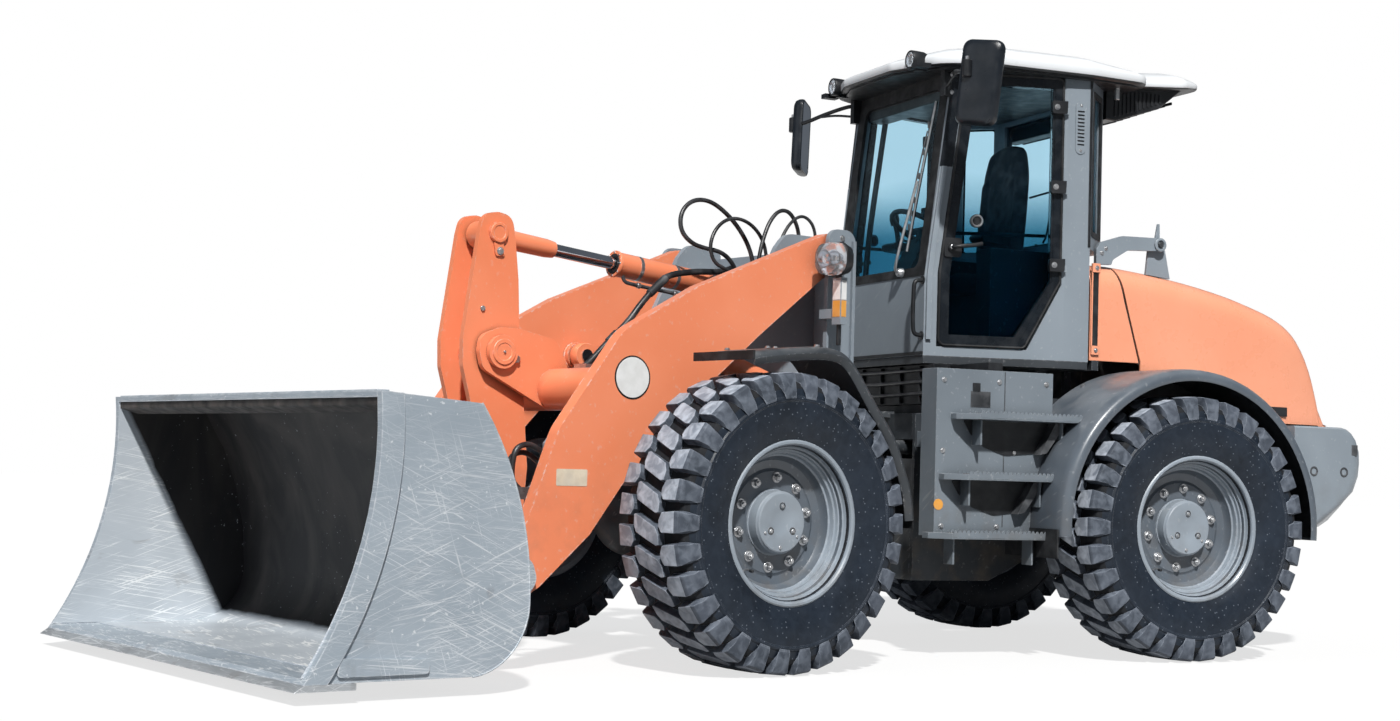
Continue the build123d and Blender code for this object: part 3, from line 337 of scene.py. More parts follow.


# glass and lenses; the cab's panes are clearer high up and darker low down, the darker part a painted shade
# of the cab's inside
def glassFinish(color, deep, rough, clear, bend, sheen, upper=None):
    tone = blend(patchy(1.3, 3, 0.3, 0.7), deep, color)
    if upper:
        # painted shade: below this height the panes stay darker
        tone = blend(spread(upPart(objectSpot()), 2.12, 2.42), tone, upper)
    finishOff(tone, patchy(9, 6, 0.45, 0.8, rough, rough + 0.05), None, 0,
              TransmissionWeight=clear, IOR=bend, SpecularTint=sheen)


# blue on the panes' reflections: painted reflection of a blue sky
skyReflectionTint = (0.25, 0.62, 1.0)
mixAll(glassFinish, ("color", "deep", "rough", "clear", "bend", "sheen", "upper"), {
    "cabGlass": ((0.17, 0.42, 0.54), (0.13, 0.36, 0.48), 0.0, 1.0, 1.12, skyReflectionTint, (0.66, 0.83, 0.91)),
    "doorGlass": ((0.10, 0.31, 0.42), (0.07, 0.25, 0.36), 0.0, 1.0, 1.12, skyReflectionTint, (0.60, 0.79, 0.88)),
    "lensClear": ((0.92, 0.94, 0.96), (0.84, 0.88, 0.92), 0.02, 0.9, 1.3, (1, 1, 1)),
    "lensAmber": ((0.95, 0.55, 0.10), (0.85, 0.42, 0.05), 0.08, 0.45, 1.4, (1, 1, 1)),
    "lensRed": ((0.70, 0.03, 0.02), (0.50, 0.015, 0.012), 0.08, 0.35, 1.4, (1, 1, 1))})
print("finishes mixed,", len(bpy.data.materials), "in all")

# Small tools for shapes. They add to the piece on the bench until finishPiece takes it off.
bench = {"shape": bmesh.new()}
aside, ahead, outward, upward = (1, 0, 0), (0, -1, 0), (0, 1, 0), (0, 0, 1)
tip = 1e-7   # radius that closes a turned profile on its axis
mergeWithin = 1e-3
bothSides = ((1, "Left"), (-1, "Right"))


def addLoft(rings, finish=0, caps=True, around=True, joined=False):
    shape = bench["shape"]
    rows = [[shape.verts.new(point) for point in ring] for ring in rings]
    count = len(rows[0])
    faces = []
    for low, high in list(zip(rows, rows[1:])) + ([(rows[-1], rows[0])] if joined else []):
        for i in range(count if around else count - 1):
            k = (i + 1) % count
            faces.append(shape.faces.new((low[i], low[k], high[k], high[i])))
    if caps and not joined:
        faces += [shape.faces.new(rows[0][::-1]), shape.faces.new(rows[-1])]
    for face in faces:
        face.material_index = finish
    return faces


def addPlate(outline, x0, x1, finish=0):
    addLoft([[(x, y, z) for y, z in outline] for x in (x0, x1)], finish)


def addSlab(outline, z0, z1, finish=0):
    addLoft([[(x, y, z) for x, y in outline] for z in (z0, z1)], finish)


def addPanel(outline, y0, y1, finish=0):
    addLoft([[(x, y, z) for x, z in outline] for y in (y0, y1)], finish)


def addBlock(x0, x1, y0, y1, z0, z1, finish=0):
    addSlab(((x0, y0), (x1, y0), (x1, y1), (x0, y1)), z0, z1, finish)


def sideways(along):
    along = Vector(along).normalized()
    first = along.orthogonal().normalized()
    return along, first, along.cross(first)


def circleAt(spot, along, radius, sides):
    along, first, second = sideways(along)
    turns = [2 * math.pi * i / sides for i in range(sides)]
    return [Vector(spot) + (first * math.cos(a) + second * math.sin(a)) * radius for a in turns]


def addBar(start, end, radius, sides=24, finish=0, edge=0.0):
    start, end = Vector(start), Vector(end)
    along = (end - start).normalized()
    stops = [(start, radius), (end, radius)]
    if edge:
        stops = [(start, radius - edge), (start + along * edge, radius), (end - along * edge, radius),
                 (end, radius - edge)]
    addLoft([circleAt(spot, along, r, sides) for spot, r in stops], finish)


def addTurned(profile, spot, along, steps=48, finish=0, closed=True):
    # profile holds (distance along the axis, radius); closed makes it a full loop of its own
    along, first, second = sideways(along)
    angles = [2 * math.pi * i / steps for i in range(steps)]
    rings = [[Vector(spot) + along * a + (first * math.cos(t) + second * math.sin(t)) * r for a, r in profile]
             for t in angles]
    faces = addLoft(rings, finish, around=closed, joined=True)
    if any(r == tip for a, r in profile):
        corners = list({corner for face in faces for corner in face.verts})
        bmesh.ops.remove_doubles(bench["shape"], verts=corners, dist=mergeWithin)


def smoothPath(points, steps=6):
    points = [Vector(p) for p in points]
    ends = [points[0] * 2 - points[1]] + points + [points[-1] * 2 - points[-2]]
    path = []
    for a, b, c, d in zip(ends, ends[1:], ends[2:], ends[3:]):
        for t in (i / steps for i in range(steps)):
            path.append(0.5 * (2 * b + (c - a) * t + (2 * a - 5 * b + 4 * c - d) * t * t
                               + (3 * b - a - 3 * c + d) * t * t * t))
    return path + [points[-1]]


def runsAlong(path):
    # each spot of a path with its direction there
    last = len(path) - 1
    return [(spot, (path[min(i + 1, last)] - path[max(i - 1, 0)]).normalized())
            for i, spot in enumerate(path)]


def addPipe(points, radius, sides=12, finish=0, steps=6):
    path = smoothPath(points, steps) if steps > 1 else [Vector(p) for p in points]
    first = (path[1] - path[0]).orthogonal().normalized()
    turns = [2 * math.pi * k / sides for k in range(sides)]
    rings = []
    for spot, along in runsAlong(path):
        first = (first - along * first.dot(along)).normalized()
        second = along.cross(first)
        rings.append([spot + (first * math.cos(t) + second * math.sin(t)) * radius for t in turns])
    addLoft(rings, finish)


def addBolt(spot, along, size, finish=1, washer=1.35, tall=0.7):
    # hexagon head with a chamfer, on a round washer
    spot, along = Vector(spot), Vector(along).normalized()
    if washer:
        seated = spot + along * size * 0.16
        addBar(spot, seated, size * washer, 18, finish)
        spot = seated
    tops = ((0, 1.0), (tall * 0.8, 1.0), (tall, 0.86))
    addLoft([circleAt(spot + along * size * a, along, size * r, 6) for a, r in tops], finish)


def roundOff(points, radii, steps=3):
    # outline with rounded corners, radii one number or one for each corner
    count = len(points)
    radii = radii if isinstance(radii, tuple) else [radii] * count
    outline = []
    for i, point in enumerate(points):
        here, before, after = Vector(point), Vector(points[i - 1]), Vector(points[(i + 1) % count])
        first, second = (before - here).normalized(), (after - here).normalized()
        half = math.acos(max(-1, min(1, first.dot(second)))) / 2
        if radii[i] <= 0 or half > math.pi / 2 - 0.02:
            outline.append(tuple(here))
            continue
        reach = min(radii[i] / math.tan(half), (before - here).length * 0.48, (after - here).length * 0.48)
        radius = reach * math.tan(half)
        centre = here + (first + second).normalized() * radius / math.sin(half)
        start, end = here + first * reach - centre, here + second * reach - centre
        a = math.atan2(start.y, start.x)
        sweep = (math.atan2(end.y, end.x) - a + math.pi) % (2 * math.pi) - math.pi
        turns = [a + sweep * k / steps for k in range(steps + 1)]
        outline += [(centre.x + radius * math.cos(t), centre.y + radius * math.sin(t)) for t in turns]
    return outline


def roundRect(a0, a1, b0, b1, radius, steps=3):
    return roundOff(((a0, b0), (a1, b0), (a1, b1), (a0, b1)), radius, steps)


def readLine(points, at):
    for (a, va), (b, vb) in zip(points, points[1:]):
        if (a - at) * (b - at) <= 0 and a != b:
            return va + (vb - va) * (at - a) / (b - a)
    return points[0][1] if abs(at - points[0][0]) < abs(at - points[-1][0]) else points[-1][1]


def easeLine(points, at):
    # smooth reading of the line through its points
    k = max(0, min(len(points) - 2, sum(1 for a, v in points[1:-1] if a <= at)))
    (a, va), (b, vb) = points[k], points[k + 1]
    before = points[k - 1] if k else (2 * a - b, 2 * va - vb)
    after = points[k + 2] if k + 2 < len(points) else (2 * b - a, 2 * vb - va)
    first = (vb - before[1]) / (b - before[0]) * (b - a)
    second = (after[1] - va) / (after[0] - a) * (b - a)
    t = (at - a) / (b - a)
    return ((2 * t ** 3 - 3 * t ** 2 + 1) * va + (t ** 3 - 2 * t ** 2 + t) * first
            + (-2 * t ** 3 + 3 * t ** 2) * vb + (t ** 3 - t ** 2) * second)


def arcThrough(start, middle, end, steps):
    (ax, ay), (bx, by), (cx, cy) = start, middle, end
    d = 2 * (ax * (by - cy) + bx * (cy - ay) + cx * (ay - by))
    a2, b2, c2 = ax * ax + ay * ay, bx * bx + by * by, cx * cx + cy * cy
    ux = (a2 * (by - cy) + b2 * (cy - ay) + c2 * (ay - by)) / d
    uy = (a2 * (cx - bx) + b2 * (ax - cx) + c2 * (bx - ax)) / d
    radius = math.hypot(ax - ux, ay - uy)
    first = math.atan2(ay - uy, ax - ux)
    sweep = (math.atan2(cy - uy, cx - ux) - first + math.pi) % (2 * math.pi) - math.pi
    turns = [first + sweep * i / steps for i in range(steps + 1)]
    return [(ux + radius * math.cos(t), uy + radius * math.sin(t)) for t in turns]


def mirrorOver():
    # all that is on the bench, once more on the other side
    shape = bench["shape"]
    made = bmesh.ops.duplicate(shape, geom=shape.verts[:] + shape.edges[:] + shape.faces[:])["geom"]
    for part in made:
        if isinstance(part, bmesh.types.BMVert):
            part.co.x = -part.co.x
    bmesh.ops.reverse_faces(shape, faces=[part for part in made if isinstance(part, bmesh.types.BMFace)])


def sided(place, side):
    return place @ Matrix.Diagonal((side, 1, 1, 1))


def faceOutward(shape):
    # every closed shell ends with its faces turned outward
    bmesh.ops.recalc_face_normals(shape, faces=shape.faces)
    shape.normal_update()
    waiting = set(shape.faces)
    while waiting:
        shell, growing = [], [waiting.pop()]
        while growing:
            shell.append(growing.pop())
            near = {face for edge in shell[-1].edges for face in edge.link_faces} & waiting
            waiting -= near
            growing += near
        if all(len(edge.link_faces) == 2 for face in shell for edge in face.edges):
            spots = [face.calc_center_median() for face in shell]
            middle = sum(spots, Vector()) / len(shell)
            if sum(face.normal.dot(spot - middle) * face.calc_area() for face, spot in zip(shell, spots)) < 0:
                for face in shell:
                    face.normal_flip()


def addBevel(piece, width, turns=2, angle=34):
    bevel = piece.modifiers.new("bevel", "BEVEL")
    bevel.width = width / 1000
    bevel.segments = turns
    bevel.limit_method = "ANGLE"
    bevel.angle_limit = math.radians(angle)
    bevel.harden_normals = True
    bevel.miter_outer = "MITER_ARC"


def finishPiece(name, finishes, body, place=rearPlace, smooth=36, bevel=0.0, replaced=""):
    shape = bench["shape"]
    bench["shape"] = bmesh.new()
    shape.transform(place)
    faceOutward(shape)
    for face in shape.faces:
        face.smooth = True
    mesh = bpy.data.meshes.new(name)
    shape.to_mesh(mesh)
    shape.free()
    for finish in finishes.split():
        mesh.materials.append(coats[finish])
    mesh.set_sharp_from_angle(angle=math.radians(smooth))
    piece = putObject(name, mesh)
    if bevel:
        addBevel(piece, bevel)
    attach(piece, body)
    if replaced:
        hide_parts(replaced)
    return piece


def thicken(piece, thickness):
    thick = piece.modifiers.new("thick", "SOLIDIFY")
    thick.thickness = thickness
    thick.offset = -1
    addBevel(piece, 2.5, 2, 50)


# CAD nodes that keep their shape: welded, their edges broken, and painted; (finish, bevel, turns)
dressing = {
    "boom_arms": ("armPaint", 5), "boom_cross_tube lever tilt_link": ("orangePaint", 4),
    "lift_barrel_left lift_barrel_right": ("orangePaint", 2.5), "lever_pin link_pin": ("orangePaint", 3),
    "tilt_rod lift_rod_left lift_rod_right steer_rod_left steer_rod_right bucket_pins": ("chromeSteel", 1.5),
    "bucket": ("bucketSteel", 2), "bucket_sides bucket_ears": ("bucketSteel", 3),
    "cutting_edge": ("bareSteel", 3),
    "front_frame": ("greyPaint", 3), "rear_frame": ("framePaint", 3),
    "steer_barrel_left steer_barrel_right": ("framePaint", 2),
    "front_axle rear_axle cab_floor": ("framePaint", 4), "engine_block": ("engineIron", 5),
    "valve_block": ("darkSteel", 5),
    "steps": ("stepPaint", 4), "cab_frame": ("greyPaint", 5, 3), "door_left door_right": ("glossBlack", 3),
    "cab_glass": ("cabGlass", 0), "door_glass_left door_glass_right": ("doorGlass", 0),
    "steering_column": ("blackPlastic", 4), "air_unit": ("blackPlastic", 8, 3)}
for names, (finish, width, *turns) in dressing.items():
    for node in (cadNodes[name] for name in names.split()):
        for slot in node.material_slots:
            slot.link = "OBJECT"
            slot.material = coats[finish]
        if width:
            node.modifiers.new("weld", "WELD").merge_threshold = 0.00002
            addBevel(node, width, *turns)
            even = node.modifiers.new("even", "WEIGHTED_NORMAL")
            even.weight = 60
            even.keep_sharp = False
print("tools laid out, CAD nodes dressed")

# hoses over the tower, each from its port on the valve block and back into the machine, in metres
hoseFacts = {
    "hose_high": {"radius": 0.011, "length": 1.499, "route": [
        (0.150, -0.760, 1.660), (0.150, -0.760, 1.755), (0.148, -0.776, 1.860), (0.146, -0.805, 1.960),
        (0.144, -0.870, 2.050), (0.142, -0.960, 2.125), (0.140, -1.065, 2.175), (0.142, -1.170, 2.165),
        (0.146, -1.240, 2.100), (0.152, -1.245, 2.010), (0.157, -1.180, 1.952), (0.161, -1.090, 1.935),
        (0.165, -1.000, 1.928), (0.169, -0.930, 1.880), (0.173, -0.898, 1.805), (0.174, -0.892, 1.735),
        (0.174, -0.892, 1.660)]},
    "hose_low": {"radius": 0.009, "length": 1.168, "route": [
        (0.215, -0.740, 1.660), (0.215, -0.740, 1.745), (0.212, -0.746, 1.830), (0.211, -0.752, 1.920),
        (0.210, -0.775, 2.000), (0.211, -0.840, 2.065), (0.213, -0.930, 2.095), (0.216, -1.020, 2.080),
        (0.219, -1.090, 2.020), (0.222, -1.120, 1.935), (0.226, -1.090, 1.860), (0.231, -1.020, 1.837),
        (0.234, -0.950, 1.800), (0.236, -0.915, 1.740), (0.236, -0.915, 1.660)]},
    "hose_rear": {"radius": 0.010, "length": 0.878, "route": [
        (0.255, -0.850, 1.660), (0.255, -0.850, 1.745), (0.253, -0.845, 1.830), (0.250, -0.832, 1.920),
        (0.246, -0.805, 2.010), (0.242, -0.765, 2.095), (0.238, -0.705, 2.155), (0.234, -0.635, 2.158),
        (0.230, -0.580, 2.100), (0.227, -0.558, 2.030), (0.225, -0.555, 1.962), (0.225, -0.555, 1.900)]},
    "hose_thin": {"radius": 0.008, "length": 0.856, "route": [
        (0.300, -0.790, 1.660), (0.300, -0.790, 1.745), (0.298, -0.782, 1.835), (0.295, -0.765, 1.925),
        (0.291, -0.725, 2.020), (0.286, -0.665, 2.100), (0.281, -0.590, 2.140), (0.276, -0.520, 2.110),
        (0.273, -0.490, 2.045), (0.272, -0.505, 1.995), (0.273, -0.545, 1.955), (0.274, -0.556, 1.925),
        (0.274, -0.556, 1.900)]}}


def layHose(node, facts):
    name = node[:4] + node[5:].title()
    curve = bpy.data.curves.new(name, "CURVE")
    curve.dimensions = "3D"
    curve.resolution_u = 10
    curve.bevel_depth = facts["radius"]
    curve.bevel_resolution = 3
    curve.use_fill_caps = True
    route = [frontSeat @ Vector(point) for point in facts["route"]]
    line = curve.splines.new("NURBS")
    line.points.add(len(route) - 1)
    for point, spot in zip(line.points, route):
        point.co = (*spot, 1)
    line.order_u = 3
    line.use_endpoint_u = True
    curve.materials.append(coats["hoseRubber"])
    hose = putObject(name, curve)
    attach(hose, "front_half")
    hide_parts(node)


for node, facts in hoseFacts.items():
    layHose(node, facts)
    size = facts["radius"] * 1000
    for x, y, z in ([1000 * a for a in facts["route"][end]] for end in (0, -1)):
        addBar((x, y, z), (x, y, z + 9), size * 1.9, 6)
        addBar((x, y, z + 9), (x, y, z + 20), size * 1.3, 16)
        addBar((x, y, z + 20), (x, y, z + 52), size * 1.45, 16, edge=1.5)
finishPiece("hoseFittings", "boltZinc", "front_half", frontPlace, 32)
print("hoses laid")


# wheels, drawn with the axle along x and the outer side toward +x
wheelSpots = {"front_left": (frontPlace, 963, -1350, 0), "front_right": (frontPlace, -963, -1350, math.pi),
              "rear_left": (rearPlace, 963, 1350, 0), "rear_right": (rearPlace, -963, 1350, math.pi)}
tyreFacts = {"radius": 655, "pitches": 30, "steps": 120, "treadFrom": 12,
             # half section from the bead to the crown, (distance out, radius)
             "side": [(178, 331), (183, 352), (193, 372), (205, 402), (206, 408), (212, 424),
                      (216.5, 462), (217.5, 500),
                      (216, 524), (219.5, 530), (219.5, 540), (212, 548), (204, 580), (192, 603), (165, 613),
                      (95, 618), (0, 620)],
             # lugs: (distance out, top radius, foot radius, half width, shift around)
             "shoulder": ((88, 653, 610, 12, 8), (108, 654, 608, 43, 4), (188, 650, 596, 47, 0),
                          (203, 641, 585, 45, 0),
                          (217, 596, 560, 37, 0), (220.5, 556, 536, 31, 0)),
             "bar": ((-84, 652, 610, 22, -41), (-66, 654.5, 608, 40, -26.04), (0, 655, 608, 40, 0),
                     (66, 654.5, 608, 40, 26.04), (84, 652, 610, 22, 41))}


def wheelPlace(name):
    place, x, y, turn = wheelSpots[name]
    return place @ Matrix.Translation((x, y, tyreFacts["radius"])) @ Matrix.Rotation(turn, 4, "Z")


def aroundAxle(x, radius, angle):
    return Vector((x, radius * math.cos(angle), radius * math.sin(angle)))


def addLug(angle, stations, side=1, jog=0.0):
    rings = []
    for out, top, foot, half, shift in stations:
        corners = ((top, -half), (top, half), (foot, half + 5), (foot, -half - 5))
        rings.append([aroundAxle(out * side, r, angle + (shift + jog + wide) / tyreFacts["radius"])
                      for r, wide in corners])
    faces = addLoft(rings, 3)
    for k, station in enumerate(stations[:-1]):
        faces[4 * k].material_index = 2 if station[0] < 185 else 3
        faces[4 * k + 2].material_index = 1


def buildTyre(name):
    loop = tyreFacts["side"] + [(-out, radius) for out, radius in tyreFacts["side"][-2::-1]]
    steps, count = tyreFacts["steps"], len(loop)
    faces = addLoft([[aroundAxle(out, radius, 2 * math.pi * i / steps) for out, radius in loop]
                     for i in range(steps)],
                    joined=True)
    for i, face in enumerate(faces):
        k = i % count
        face.material_index = int(tyreFacts["treadFrom"] <= min(k, count - k - 2) or k == count - 1)
    chance = random.Random(name)
    pitch = 2 * math.pi / tyreFacts["pitches"]
    for i in range(tyreFacts["pitches"]):
        for side, offset in ((1, 0.0), (-1, 0.5)):
            addLug((i + offset) * pitch, tyreFacts["shoulder"], side, chance.uniform(-1.5, 1.5))
        addLug((i + 0.27) * pitch, tyreFacts["bar"])
    tyre = finishPiece("tyre" + name.title().replace("_", ""),
                       "tyreRubber tyreGap tyreTop tyreFlank", "wheel_" + name,
                       wheelPlace(name), smooth=28, bevel=3.5, replaced="tyre_" + name)
    tyre.modifiers["bevel"].angle_limit = math.radians(38)


rimFacts = {"steps": 72, "nuts": 10, "nutCircle": 196,
            # closed section, outer side first, (distance out, radius)
            "section": ((176, 334), (176, 355), (181, 360), (189, 360), (193, 354), (193, 344),
                        (188, 338), (170, 333),
                        (150, 327), (146, 320), (133, 318), (130, 312), (116, 309), (112, 300),
                        (92, 297), (88, 290),
                        (66, 284), (52, 272), (44, 250), (40, 236), (42, 228), (46, 222), (46, 60),
                        (20, 60), (20, 226),
                        (14, 250), (12, 280), (-50, 283), (-72, 316), (-176, 316), (-190, 322), (-192, 348),
                        (-186, 355), (-176, 355), (-176, 331), (-62, 331), (-44, 297), (72, 297), (98, 331)),
            # darker paint in the groove rings and round the disc: painted shade in the deep dish
            "grooves": (((147, 322), (147, 319.4), (132.5, 317.4), (131.5, 319), (140, 322)),
                        ((117, 311), (115, 308), (112.6, 302), (113, 300.5), (111, 306)),
                        ((89, 292), (87, 288.6), (67, 283), (52.6, 271), (45, 250), (41, 236),
                         (43.2, 228), (47, 222),
                         (47, 146), (40, 146), (36, 224), (34, 240), (40, 262), (50, 280),
                         (66, 290), (84, 294))),
            # final drive housing and its cap
            "housing": ((-200, tip), (-200, 132), (46, 132), (46, 144), (52, 144), (54, 140),
                        (100, 137), (106, 132),
                        (112, 130), (115, 125), (115, 64), (113, 60), (113, tip))}


def buildRim(name):
    facts = rimFacts
    addTurned(facts["section"], (0, 0, 0), aside, facts["steps"])
    # painted shade: dark rings over the groove faces and the disc
    for profile in facts["grooves"]:
        addTurned(profile, (0, 0, 0), aside, facts["steps"], 4)
    addTurned(facts["housing"], (0, 0, 0), aside, 56, closed=False)
    for degrees in (90, 210, 330):
        spot = aroundAxle(115, 72, math.radians(degrees))
        addTurned(((0, 17), (1.6, 16), (1.8, 12.5), (-0.5, 10), (-0.5, tip), (-2, tip), (-2, 17)),
                  spot, aside, 20, 2)
        addBolt(spot - Vector(aside), aside, 8, washer=0)
    for out, radius, degrees, size, washer in ((115, 105, 205, 6.5, 0), (115, 105, 325, 6.5, 0),
                                               (112, 108, 265, 9, 1.5)):
        addBolt(aroundAxle(out, radius, math.radians(degrees)), aside, size, washer=washer)
    for i in range(facts["nuts"]):
        spot = aroundAxle(46, facts["nutCircle"], 2 * math.pi * (i + 0.35) / facts["nuts"])
        addBar(spot, spot + Vector((5, 0, 0)), 24, 20, 1, edge=1)
        addBolt(spot + Vector((5, 0, 0)), aside, 17, washer=0, tall=1.05)
        addBar(spot + Vector((20, 0, 0)), spot + Vector((31, 0, 0)), 8.5, 14, 1, edge=1)
    # valve with its cap
    stem = [aroundAxle(out, radius, math.radians(232))
            for out, radius in ((58, 268), (74, 258), (104, 262), (100, 262), (122, 264))]
    addPipe(stem[:3], 5, 10, 1)
    addBar(stem[3], stem[4], 7, 12, 3, edge=1)
    finishPiece("rim" + name.title().replace("_", ""),
                "rimPaint boltZinc framePaint blackPlastic fenderPaint",
                "wheel_" + name, wheelPlace(name), smooth=30, replaced="rim_" + name)


for name in wheelSpots:
    buildTyre(name)
    buildRim(name)
print("wheels built")

# bucket: lining inside, bends of the back plate, and seams
bucketFacts = {"front": -3690, "heel": (-3015, 345), "heelRadius": 270, "backRadius": 1300, "backTop": 1100,
               "mouthTop": (-3425, 1128), "mouthMid": (-3447, 660), "inside": 1213.5,
               "lipBar": ((-3415, 1106), (-3300, 1100), (-3300, 1062), (-3330, 1052), (-3415, 1075)),
               "pad": ((-3560, 96), (-3180, 96), (-3180, 150), (-3545, 165)),
               "padsAt": (-900, -450, 0, 450, 900)}


def bucketLine(inset, bends):
    # side view of the bucket plate from the cutting edge round to the top lip, folded at the bends
    facts = bucketFacts
    heelY, heelZ = facts["heel"]
    heel, back = facts["heelRadius"] - inset, facts["backRadius"] - inset
    line = [(facts["front"] + 210, heelZ - heel), (heelY - 300, heelZ - heel), (heelY, heelZ - heel)]
    line += [(heelY + heel * math.sin(math.radians(a)), heelZ - heel * math.cos(math.radians(a)))
             for a in range(6, 90, 6)]
    centreY = heelY + facts["heelRadius"] - facts["backRadius"]
    turns = [math.asin((facts["backTop"] - inset - heelZ) / back) * i / bends for i in range(bends + 1)]
    line += [(centreY + back * math.cos(t), heelZ + back * math.sin(t)) for t in turns]
    return line + [(facts["mouthTop"][0] + 2, facts["mouthTop"][1] - inset)]


def buildBucket(facts):
    half, front = facts["inside"], facts["front"]
    # side plates' inner faces, then the plate between them and the stiffening bar under the top lip, which is
    # near black as painted shade
    mouthCurve = arcThrough((front + 3, 97), facts["mouthMid"], (-3423, 1104), 10)
    addPlate([(y + 2, z) for y, z in mouthCurve] + bucketLine(24, 16)[::-1][1:-1], half + 0.8, half - 1.6)
    mirrorOver()
    addPlate(bucketLine(23.5, 4) + bucketLine(20.6, 4)[::-1], -half, half)
    addPlate(roundOff(facts["lipBar"], 8), -half + 3, half - 3, 1)
    finishPiece("bucketLining", "bucketInside bucketSoot", "bucket", frontPlace, 12)
    # weld seam along the wear strip, the bead where side plate meets shell, and the pads on the sides
    strip = arcThrough((front, 77), facts["mouthMid"], (-3425, 1124), 16)
    addPipe([(1236, y + 92, z) for y, z in strip], 4.5, 8, 0, 1)
    addPipe([(1234, y, z) for y, z in bucketLine(-1, 16)[3:-1]], 4, 8, 0, 1)
    addPlate(roundOff(facts["pad"], 14), 1235, 1247)
    mirrorOver()
    # heel wear plates under the bucket, and the folded lip on top
    for x in facts["padsAt"]:
        addBlock(x - 35, x + 35, -3440, -3060, 69, 75.5)
    addBlock(-1205, 1205, -3420, -3368, 1126, 1133)
    finishPiece("bucketTrim", "bucketSteel", "bucket", frontPlace, 40, 1.5)


buildBucket(bucketFacts)

# boom: bosses round the bucket hinge and lift eye, and weld beads at the cross tube; (spot, radius, from, to)
boomFacts = {"bosses": (((-2410, 390), 58, 614, 620), ((-1350, 1420), 70, 536, 544)), "sign": (-1838, 1268),
             "sticker": ((-2458, 440), (-2400, 520), (-2398, 640), (-2456, 590))}
for spot, radius, low, high in boomFacts["bosses"]:
    addBar((low, *spot), (high, *spot), radius, 32, edge=2)
addTurned(((0, 92), (0, 112), (9, 101), (16, 92)), (545, -1935, 1215), (-1, 0, 0), 40)
addBolt((620, -2410, 390), aside, 13, washer=1.5)
mirrorOver()
finishPiece("boomTrim", "armPaint boltZinc", "boom", frontPlace, 40)

# blank round sign and stickers on the near arm
sign = boomFacts["sign"]
addBar((615.2, *sign), (617.2, *sign), 96, 64, 1, edge=0.4)
addBar((616.4, *sign), (617.9, *sign), 89, 64, 0, edge=0.3)
addPlate(roundRect(-2222, -2062, 788, 860, 6), 615.2, 616.4, 2)
addPlate(roundOff(boomFacts["sticker"], 6), 615.2, 616.2)
finishPiece("boomMarks", "signWhite sealRubber labelCream", "boom", frontPlace, 40)

# lever: pin ends at head and foot, keeper plates and their bolts
leverFacts = {"pinEnds": (((-2238, 1904), 46), ((-2144, 645), 44)), "pin": (-2231, 1369),
              "keeper": ((-2262, 1868), (-2214, 1868), (-2202, 1800), (-2250, 1800)),
              "pinKeeper": ((-2215, 1398), (-2130, 1350), (-2140, 1322), (-2222, 1360))}
for spot, radius in leverFacts["pinEnds"]:
    profile = ((0, tip), (0, radius), (6, radius), (9, radius - 3), (9, radius - 14),
               (6, radius - 17), (6, tip))
    addTurned(profile, (119, *spot), aside, 36)
addPlate(roundOff(leverFacts["keeper"], 10), 110, 119)
addBolt((119, -2228, 1822), aside, 13)
addBolt((110, -2150, 740), aside, 12)
addBar((110, -2305, 1560), (118, -2305, 1560), 12, 16, 1, edge=1)
mirrorOver()
finishPiece("leverTrim", "orangePaint boltZinc", "lever", frontPlace)
pin = leverFacts["pin"]
addTurned(((0, tip), (0, 58), (5, 58), (7, 56), (7, 40), (4, 37), (4, tip)), (184, *pin), aside, 36)
addPlate(roundOff(leverFacts["pinKeeper"], 10), 160, 168)
addBolt((168, -2152, 1341), aside, 13)
addBar((187, *pin), (196, *pin), 6, 12, 1, edge=1)
mirrorOver()
finishPiece("leverPinTrim", "orangePaint boltZinc", "lever_pin", frontPlace)

# cylinders: gland nuts, end caps, rod eyes
cylinderFacts = {"lift": {"base": (470, -520, 1150), "eye": (470, -1350, 1420), "radius": 56,
                          "head": 764, "grow": 1},
                 "tilt": {"base": (0, -690, 1755), "eye": (0, -2238, 1904), "radius": 59,
                          "head": 822, "grow": 5},
                 "finishes": "orangePaint sealRubber boltZinc darkSteel",
                 # half width, bore, outer radius at the rim and in the middle, width of the slope
                 "baseEye": (48, 33, 60, 63, 6), "tiltEye": (63, 30, 59, 64, 7),
                 "liftEye": (30, 30, 60, 63, 6, 36),
                 # steel line under the tilt barrel, (along, below)
                 "line": ((120, 62), (150, 80), (300, 84), (500, 84), (730, 84), (780, 78), (798, 56)),
                 "clamps": (250, 480, 700)}


def addGland(facts):
    start, radius = Vector(facts["base"]), facts["radius"]
    along, first, second = sideways(Vector(facts["eye"]) - start)
    top, outer = start + along * facts["head"], radius + facts["grow"]
    addTurned(((0, radius - 20), (0, outer), (9, outer), (12, outer - 2), (12, radius - 20)), top, along, 40)
    addTurned(((12, radius - 26), (12, radius - 10), (16, radius - 12), (16, radius - 26)), top, along, 32, 1)
    for turn in (math.pi * i / 4 for i in range(8)):
        around = first * math.cos(turn) + second * math.sin(turn)
        addBolt(top + along * 12 + around * (radius - 3), along, 5, 2, 0)
    return start, along


def addEye(spot, half, bore, rim, radius, slope, steps=40):
    profile = ((-half, bore), (-half, rim), (slope - half, radius), (half - slope, radius),
               (half, rim), (half, bore))
    addTurned(profile, spot, aside, steps)


